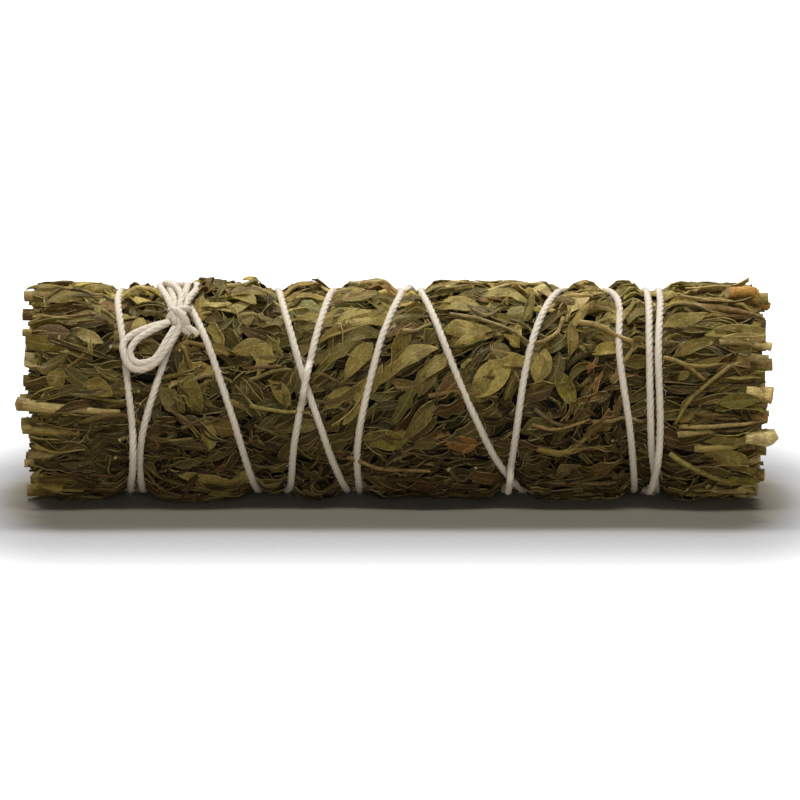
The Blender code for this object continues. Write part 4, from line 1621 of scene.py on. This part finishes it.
@dataclass
class LooseLeaves:
    """The leaves that lie loose on the surface, each where its own place is."""

    bundle: Bundle
    bed: LeafBed
    blank: Blank
    materials: list[bpy.types.Material]
    over: float = 0.7

    def lay(self, node: str, leaf: Leaf, heading: float, tint: Tint, bright: float = 1.0) -> None:
        """Lay one loose leaf over the middle of its place.

        Args:
            node: The name of the leaf and of its place.
            leaf: Its shape.
            heading: Its direction, in degrees from the X axis.
            tint: Its colour.
            bright: How light it is beside its tint.
        """
        low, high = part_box(node)
        middle = (low + high) / 2 / MM
        angle = math.degrees(math.atan2(middle.z - self.bundle.axis, -middle.y))
        growth = Growth(node)
        colour = tuple(part * bright for part in linear(tint.value))
        growth.add(self.blank, self.bed.lay(self.blank, leaf, middle.x, angle, heading, self.over),
                   (*colour, middle.x % 3))
        piece = growth.build(self.materials)
        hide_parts(node)
        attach(piece, BODY)
        LOG.info("%s: %.1f mm long, at angle %.0f", node, leaf.length, angle)

    def lay_all(self) -> None:
        """Lay every loose leaf."""
        self.lay("loose_leaf_oval", Leaf(7.8, 2.6, fold=6, curl=14, ripple=0.08, petiole=0.05, swell=0.8,
                                         taper=0.7, arch=0.3), -68, Tint.GREEN, 0.95)
        self.lay("loose_leaf_lobed", Leaf(11.4, 6.4, fold=5, curl=12, ripple=0.45, lobes=2.2, lobe_depth=0.2,
                                          swell=1.4, taper=0.4, seed=2.2), -24, Tint.YELLOW_OLIVE, 0.8)
        self.lay("loose_leaf_high", Leaf(7.2, 3.0, fold=12, curl=8, ripple=0.12, taper=0.9), 8,
                 Tint.YELLOW_OLIVE)
        self.lay("loose_leaf_broad", Leaf(6.2, 3.2, fold=3, curl=24, ripple=0.15, swell=0.6, taper=0.55),
                 182, Tint.GREEN, 1.15)
        self.lay("loose_leaf_folded",
                 Leaf(8.2, 4.4, fold=30, lopsided=0.4, curl=-8, ripple=0.2, taper=1.0), 222,
                 Tint.YELLOW_OLIVE, 0.95)
        self.lay("loose_leaf_tan",
                 Leaf(5.4, 2.9, fold=4, curl=10, ripple=0.1, petiole=0.2, swell=0.9, taper=0.5),
                 62, Tint.TAN, 1.1)
        self.lay("loose_leaf_pointed", Leaf(6.2, 2.5, fold=14, curl=10, ripple=0.1), -65, Tint.GREEN, 1.1)
        self.lay("loose_leaf_end", Leaf(9.6, 2.4, fold=14, curl=10, ripple=0.12), -14, Tint.KHAKI, 1.1)
        self.lay("loose_leaf_back", Leaf(6.2, 2.6, fold=14, curl=10, ripple=0.12), 60, Tint.GREEN)
        self.lay("loose_leaf_back_end", Leaf(8.8, 3.0, fold=10, curl=16, ripple=0.15), 10, Tint.KHAKI)


@dataclass
class LooseStalks:
    """The stalks that lie loose on the surface."""

    foliage: Foliage
    places: tuple[tuple[str, float, Tint, tuple[tuple[float, float], ...]], ...] = (
        ("loose_stalk_curved", 0.55, Tint.KHAKI, ((19.0, -22), (22.6, -25), (26.2, -14), (28.6, 0))),
        ("loose_stalk_low", 0.42, Tint.STRAW, ((37.8, -14), (42.0, -12), (46.0, -12), (49.9, -11))),
        ("loose_stalk_high", 0.6, Tint.BARK, ((40.0, 62), (43.5, 60), (46.5, 58), (49.8, 57))),
        ("loose_stalk_left", 0.95, Tint.TAN, ((-50.7, 2), (-47.5, 1), (-43.5, 0), (-37.0, -2))),
        ("loose_stalk_back", 0.45, Tint.STRAW, ((-1.6, 183), (1.5, 179), (5.0, 181), (7.6, 178))),
    )

    def lay_all(self) -> None:
        """Lay every loose stalk."""
        for name, radius, tint, places in self.places:
            growth = Growth(name)
            self.foliage.lay_stalk(growth, list(places), radius, (*linear(tint.value), 0.7), 0.05,
                                   (1.1, 0.35))
            piece = growth.build(self.foliage.materials)
            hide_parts(name)
            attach(piece, BODY)
            LOG.info("%s: %.1f mm thick", name, 2 * radius)


@dataclass
class Cord:
    """Twisted cotton, laid along a line with its plies and stray fibres."""

    bundle: Bundle
    material: bpy.types.Material
    plies: int = 4
    ply_radius: float = 0.325
    ply_offset: float = 0.195
    pitch: float = 4.2
    step: float = 0.3
    fuzz_every: float = 0.36
    fuzz_length: tuple[float, float] = (0.25, 1.0)
    fuzz_radius: float = 0.055

    def resample(self, line: np.ndarray) -> np.ndarray:
        """Read a line at even steps."""
        run = np.concatenate([[0], np.cumsum(np.linalg.norm(np.diff(line, axis=0), axis=1))])
        spots = np.linspace(0, run[-1], max(int(run[-1] / self.step), 3))
        return np.column_stack([np.interp(spots, run, line[:, k]) for k in range(3)])

    def add_spline(self, curve: bpy.types.Curve, points: np.ndarray, radii: np.ndarray) -> None:
        """Add one line to a curve, with its points in millimetres and its share of the full radius."""
        spline = curve.splines.new("POLY")
        spline.points.add(len(points) - 1)
        spline.points.foreach_set("co", np.column_stack([points * MM, np.ones(len(points))]).ravel())
        spline.points.foreach_set("radius", radii)

    def build(self, name: str, lines: list[np.ndarray], chance: np.random.Generator) -> bpy.types.Object:
        """Twist cord along lines and make one piece of it.

        Args:
            name: The piece's name.
            lines: Points in millimetres that the cord goes through.
            chance: Where its stray fibres come from.

        Returns:
            The piece.
        """
        curve = bpy.data.curves.new(name, "CURVE")
        curve.dimensions = "3D"
        curve.bevel_depth = self.ply_radius * MM
        curve.bevel_resolution = 1
        curve.use_fill_caps = True
        for line in lines:
            path = self.resample(line)
            ahead = np.gradient(path, axis=0)
            ahead /= np.linalg.norm(ahead, axis=1, keepdims=True)
            out = path - np.array([0.0, 0.0, self.bundle.axis])
            out[:, 0] = 0
            out -= ahead * (out * ahead).sum(axis=1, keepdims=True)
            out /= np.linalg.norm(out, axis=1, keepdims=True)
            aside = np.cross(ahead, out)
            turn = math.tau * np.arange(len(path)) * self.step / self.pitch
            for ply in range(self.plies):
                phase = turn + math.tau * ply / self.plies
                offset = np.cos(phase)[:, None] * out + np.sin(phase)[:, None] * aside
                taper = np.ones(len(path))
                taper[[0, -1]] = 0.6
                self.add_spline(curve, path + offset * self.ply_offset, taper)
            for _ in range(int(len(path) * self.step / self.fuzz_every)):
                self.add_fibre(curve, path, ahead, out, aside, chance)
        holder = bpy.data.objects.new(name, curve)
        mesh = bpy.data.meshes.new_from_object(holder)
        mesh.name = name
        bpy.data.objects.remove(holder)
        bpy.data.curves.remove(curve)
        for polygon in mesh.polygons:
            polygon.use_smooth = True
        mesh.materials.clear()
        mesh.materials.append(self.material)
        piece = bpy.data.objects.new(name, mesh)
        bpy.context.scene.collection.objects.link(piece)
        return piece

    def add_fibre(self, curve: bpy.types.Curve, path: np.ndarray, ahead: np.ndarray, out: np.ndarray,
                  aside: np.ndarray, chance: np.random.Generator) -> None:
        """Add one stray fibre that springs from the cord.

        Args:
            curve: The curve to add it to.
            path: The cord's line.
            ahead: Its direction at each point.
            out: The direction away from the bundle at each point.
            aside: The direction to its side at each point.
            chance: Where the fibre's place and bend come from.
        """
        spot = int(chance.integers(0, len(path)))
        turn = chance.uniform(0, math.tau)
        spoke = math.cos(turn) * out[spot] + math.sin(turn) * aside[spot]
        reach = chance.uniform(*self.fuzz_length)
        drift = ahead[spot] * chance.normal(0, 0.7) + np.cross(ahead[spot], spoke) * chance.normal(0, 0.5)
        start = path[spot] + spoke * 0.4
        middle = start + (spoke * 0.4 + drift * 0.5) * reach
        end = middle + (spoke * chance.uniform(-0.3, 0.4) + drift) * reach * 0.6
        self.add_spline(curve, np.array([start, middle, end]), np.full(3, self.fuzz_radius))


@dataclass
class Binding:
    """The string wound round the bundle, and the bow that ties its two ends."""

    bundle: Bundle
    cord: Cord
    front_inner: tuple[tuple[float, float, float], ...] = (
        (-30.4, 47, 1.6), (-32.6, 42, 1.5), (-34.4, 37.5, 1.5), (-35.3, 33, 1.5), (-35.6, 28.5, 1.5),
        (-34.9, 24.4, 1.5), (-33.8, 23.8, 1.4), (-32.4, 25.6, 1.4), (-31.5, 30, 1.4), (-30.6, 37, 1.4),
        (-29.6, 44, 1.5))
    front_outer: tuple[tuple[float, float, float], ...] = (
        (-30.2, 49, 1.0), (-33.2, 44.5, 1.2), (-35.3, 39.5, 1.5), (-36.5, 34, 1.7), (-36.4, 28, 1.8),
        (-35.7, 22.4, 1.6), (-34.4, 20.4, 1.4), (-32.9, 22, 1.4), (-31.7, 26, 1.3), (-30.7, 32, 1.3),
        (-29.5, 40, 1.3), (-29.0, 47, 1.2))
    top_inner: tuple[tuple[float, float, float], ...] = (
        (-29.7, 56, 1.0), (-30.0, 66, 1.1), (-30.4, 76, 0.9), (-30.8, 88, 0.7), (-30.4, 98, 0.7),
        (-29.4, 102, 0.8), (-28.6, 98, 0.8), (-28.4, 86, 0.9), (-28.6, 72, 1.1), (-29.0, 60, 1.0))
    top_outer: tuple[tuple[float, float, float], ...] = (
        (-30.0, 55, 1.1), (-30.8, 66, 1.1), (-31.6, 78, 0.8), (-32.2, 92, 0.7), (-31.6, 105, 0.7),
        (-29.8, 111, 0.8), (-28.0, 106, 0.8), (-27.2, 94, 0.8), (-27.1, 80, 0.9), (-27.8, 69, 1.1),
        (-28.6, 58, 1.1))
    top_third: tuple[tuple[float, float, float], ...] = (
        (-29.2, 56, 1.5), (-29.0, 66, 1.6), (-29.7, 76, 1.5), (-30.6, 84, 1.3), (-31.4, 94, 1.1),
        (-30.6, 103, 0.9))
    tails: tuple[tuple[tuple[float, float, float], ...], ...] = (
        ((-29.4, 49, 1.2), (-28.4, 46, 1.2), (-27.4, 43.6, 0.9), (-26.6, 41.4, 0.5)),
        ((-29.4, 47.4, 0.9), (-28.6, 44.6, 0.8), (-27.7, 42.4, 0.5), (-27.1, 40.6, 0.2)))

    def on_bundle(self, places: tuple[tuple[float, float, float], ...], samples: int = 60) -> np.ndarray:
        """Draw a smooth line over the bundle.

        Args:
            places: Places along the bundle, angles, and heights over the wound string's centre line.
            samples: How many points the line has.

        Returns:
            The line's points, in millimetres.
        """
        spots = np.linspace(0, len(places) - 1, samples)
        columns = [np.array([hermite([(k, p[axis]) for k, p in enumerate(places)], float(s)) for s in spots])
                   for axis in range(3)]
        return self.bundle.place(columns[0], columns[1], self.bundle.winding.radius + columns[2])

    def knot_lines(self) -> list[np.ndarray]:
        """Wind the knot's strands round its middle.

        Returns:
            The strands' points, in millimetres.
        """
        low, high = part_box("bow_knot")
        middle = np.array((low + high) / 2 / MM)
        angle = math.atan2(middle[2] - self.bundle.axis, -middle[1])
        out = np.array([0.0, -math.cos(angle), math.sin(angle)])
        up = np.array([0.0, math.sin(angle), math.cos(angle)])
        along = np.array([1.0, 0.0, 0.0])
        lines = []
        turns = np.linspace(0, 2.3, 50)
        wrap = (along[None] * (-0.75 + 0.65 * turns)[:, None]
                + up[None] * (1.15 * np.cos(math.tau * turns + 0.8) - 0.25 * turns)[:, None]
                + out[None] * (0.85 * np.sin(math.tau * turns + 0.8) + 0.3)[:, None])
        lines.append(middle + wrap)
        sweep = np.linspace(-1, 1, 24)
        cross = (along[None] * (1.5 * sweep)[:, None] + up[None] * (0.9 * sweep + 0.3)[:, None]
                 + out[None] * (1.5 - 1.1 * sweep**2)[:, None])
        lines.append(middle + cross)
        back = (along[None] * (-1.3 * sweep)[:, None] + up[None] * (1.3 * sweep - 0.3)[:, None]
                + out[None] * (1.75 - 1.3 * sweep**2)[:, None])
        lines.append(middle + back)
        return lines

    def finish(self, piece: bpy.types.Object, node: str) -> None:
        """Fix a piece of string in the frame.

        Args:
            piece: The piece.
            node: The CAD node that it replaces.
        """
        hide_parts(node)
        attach(piece, BODY)
        LOG.info("%s: %d faces", node, len(piece.data.polygons))

    def build(self) -> None:
        """Make the wound string and the bow."""
        chance = np.random.default_rng(SEED + 2)
        x, angle, radius = self.bundle.winding.route.T
        line = self.bundle.place(x, angle, radius)
        self.finish(self.cord.build("binding_string", [line], chance), "binding_string")
        front = [self.on_bundle(self.front_inner), self.on_bundle(self.front_outer)]
        self.finish(self.cord.build("bow_loop_front", front, chance), "bow_loop_front")
        top = [self.on_bundle(line) for line in (self.top_inner, self.top_outer, self.top_third)]
        self.finish(self.cord.build("bow_loop_top", top, chance), "bow_loop_top")
        tails = [self.on_bundle(tail, 16) for tail in self.tails]
        self.finish(self.cord.build("string_tail", tails, chance), "string_tail")
        self.finish(self.cord.build("bow_knot", self.knot_lines(), chance), "bow_knot")


@dataclass
class Stage:
    """The floor, lights and camera round the bundle, in metres."""

    middle: Vector
    camera_distance: float = 0.62
    camera_height: float = 10.0
    lens: float = 203.6
    aim: tuple[float, float, float] = (0.00055, 0.0, -0.00137)
    floor_radius: float = 3.0
    shadow_reach: tuple[float, float] = (0.026, 0.070)
    shadow_warmth: tuple[float, float] = (0.018, 0.031)
    shadow_half_length: float = 0.043
    end_fade: float = 2.2
    paper_dim: tuple[float, ...] = (0.345, 0.34, 0.343, 1.0)
    paper_light: tuple[float, ...] = (0.36, 0.355, 0.358, 1.0)
    # Painted shadow with the painted reflection of the leaves, on the floor near the bundle.
    paper_painted_shadow: tuple[float, ...] = (0.235, 0.212, 0.168, 1.0)
    paper_bounce: tuple[float, ...] = (0.34, 0.31, 0.26, 1.0)
    lights: tuple[tuple[str, float, float, float, float], ...] = (
        ("key", 115.0, 0.85, 0.12, 7.8),
        ("over_front", 66.0, 0.85, 0.14, 4.5),
        ("behind", 137.0, 0.9, 0.7, 1.2),
        ("front", 6.0, 0.9, 0.5, 3.7),
    )

    def build_camera(self) -> None:
        """Place the camera in front, a little above."""
        data = bpy.data.cameras.new("camera")
        data.lens = self.lens
        data.sensor_width = 36.0
        camera = bpy.data.objects.new("camera", data)
        tilt = math.radians(self.camera_height)
        aim = self.middle + Vector(self.aim)
        back = Vector((0.0, -math.cos(tilt), math.sin(tilt)))
        camera.location = aim + back * self.camera_distance
        camera.rotation_euler = (-back).to_track_quat("-Z", "Y").to_euler()
        bpy.context.scene.collection.objects.link(camera)
        bpy.context.scene.camera = camera

    def build_lights(self) -> None:
        """Hang the soft lights, each at its own angle over the bundle."""
        for name, angle, distance, size, power in self.lights:
            data = bpy.data.lights.new(name, "AREA")
            data.shape = "RECTANGLE"
            data.size = max(size, 0.5)
            data.size_y = size
            data.energy = power
            light = bpy.data.objects.new(name, data)
            turn = math.radians(angle)
            way = Vector((0.0, -math.cos(turn), math.sin(turn)))
            light.location = self.middle + way * distance
            light.rotation_euler = (-way).to_track_quat("-Z", "Y").to_euler()
            bpy.context.scene.collection.objects.link(light)
            light.visible_camera = False
            light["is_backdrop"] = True

    def build_world(self) -> None:
        """Surround the scene with white that lights it only faintly."""
        world = bpy.data.worlds.new("studio")
        world.use_nodes = True
        nodes = Nodes(world.node_tree)
        sky = world.node_tree.nodes["Background"]
        seen = nodes.add("ShaderNodeLightPath").outputs["Is Camera Ray"]
        world.node_tree.links.new(nodes.ramp(seen, 0.0, 1.0, 0.05, 1.0), sky.inputs["Strength"])
        sky.inputs["Color"].default_value = (1.0, 1.0, 1.0, 1.0)
        bpy.context.scene.world = world

    def build_floor(self) -> None:
        """Lay a round pale floor that is evenly white away from the bundle, with a painted warm shadow near
        it and a glow that paints the soft edge of that shadow.
        """
        shape = bmesh.new()
        bmesh.ops.create_circle(shape, cap_ends=True, segments=48, radius=self.floor_radius)
        mesh = bpy.data.meshes.new("floor")
        shape.to_mesh(mesh)
        shape.free()
        nodes, shader = new_material("pale_floor")
        spot = nodes.add("ShaderNodeTexCoord").outputs["Object"]
        seen = nodes.add("ShaderNodeLightPath").outputs["Is Camera Ray"]
        grain = nodes.noise(spot, 900.0, 2.0)
        nodes.tree.links.new(nodes.ramp(grain, 0.3, 0.7, 0.8, 0.9), shader.inputs["Roughness"])
        shader.inputs["Specular IOR Level"].default_value = 0.1
        parts = nodes.add("ShaderNodeSeparateXYZ", {"Vector": spot})
        aside = nodes.maths("ABSOLUTE", parts.outputs["X"])
        past_end = nodes.maths("MAXIMUM", nodes.maths("SUBTRACT", aside, self.shadow_half_length), 0.0)
        past_end = nodes.maths("MULTIPLY", past_end, self.end_fade)
        away = nodes.add("ShaderNodeCombineXYZ", {"X": past_end, "Y": parts.outputs["Y"]}).outputs[0]
        far = nodes.add("ShaderNodeVectorMath", {0: away}, operation="LENGTH").outputs["Value"]
        paper = nodes.mix(nodes.ramp(grain, 0.3, 0.7), self.paper_dim, self.paper_light)
        # Near the bundle the floor is painted a warm dark colour: painted shadow and painted reflection of
        # the leaves.
        painted_shadow_paper = nodes.mix(nodes.ramp(far, *self.shadow_warmth), self.paper_painted_shadow, paper)
        nodes.tree.links.new(nodes.mix(seen, self.paper_bounce, painted_shadow_paper), shader.inputs["Base Color"])
        # The floor glows more the farther it is from the bundle: a painted soft edge of its shadow.
        shadow_fade_glow = nodes.maths("MULTIPLY", nodes.ramp(far, *self.shadow_reach), seen)
        nodes.tree.links.new(shadow_fade_glow, shader.inputs["Emission Strength"])
        shader.inputs["Emission Color"].default_value = (1.0, 1.0, 1.0, 1.0)
        mesh.materials.append(bpy.data.materials["pale_floor"])
        floor = bpy.data.objects.new("floor", mesh)
        bpy.context.scene.collection.objects.link(floor)
        floor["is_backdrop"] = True

    def build(self) -> None:
        """Set the stage."""
        self.build_camera()
        self.build_lights()
        self.build_world()
        self.build_floor()
        bpy.context.scene.view_settings.view_transform = "Standard"


def corners() -> list[list[float]]:
    """Return the shown object's lowest and highest corners as plain lists."""
    return [list(corner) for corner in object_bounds()]


def main() -> None:
    """Build and dress every piece, then set the stage."""
    logging.basicConfig(level=logging.INFO, format="%(message)s")
    cad_box = corners()
    core_low, core_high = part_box("sprig_core")
    axis = (core_low.z + core_high.z) / 2 / MM
    bundle = Bundle(Winding(), axis, cad_box[1][0] / MM)
    LOG.info("bundle: axis %.2f mm up, %d stations of string", axis, len(bundle.winding.route))
    effects = Effects()
    materials = [finish.make(effects) for finish in (LeafFinish(), BarkFinish(), PithFinish(), MassFinish())]
    foliage = Foliage(bundle, LeafBed(bundle), materials)
    foliage.grow()
    TopLeaves(foliage).lay_all()
    LooseStalks(foliage).lay_all()
    LooseLeaves(bundle, foliage.bed, foliage.fine, materials).lay_all()
    foliage.build()
    Binding(bundle, Cord(bundle, CottonFinish().make(effects))).build()
    Stage(Vector((0.0, 0.0, axis * MM))).build()


if __name__ == "__main__":
    main()
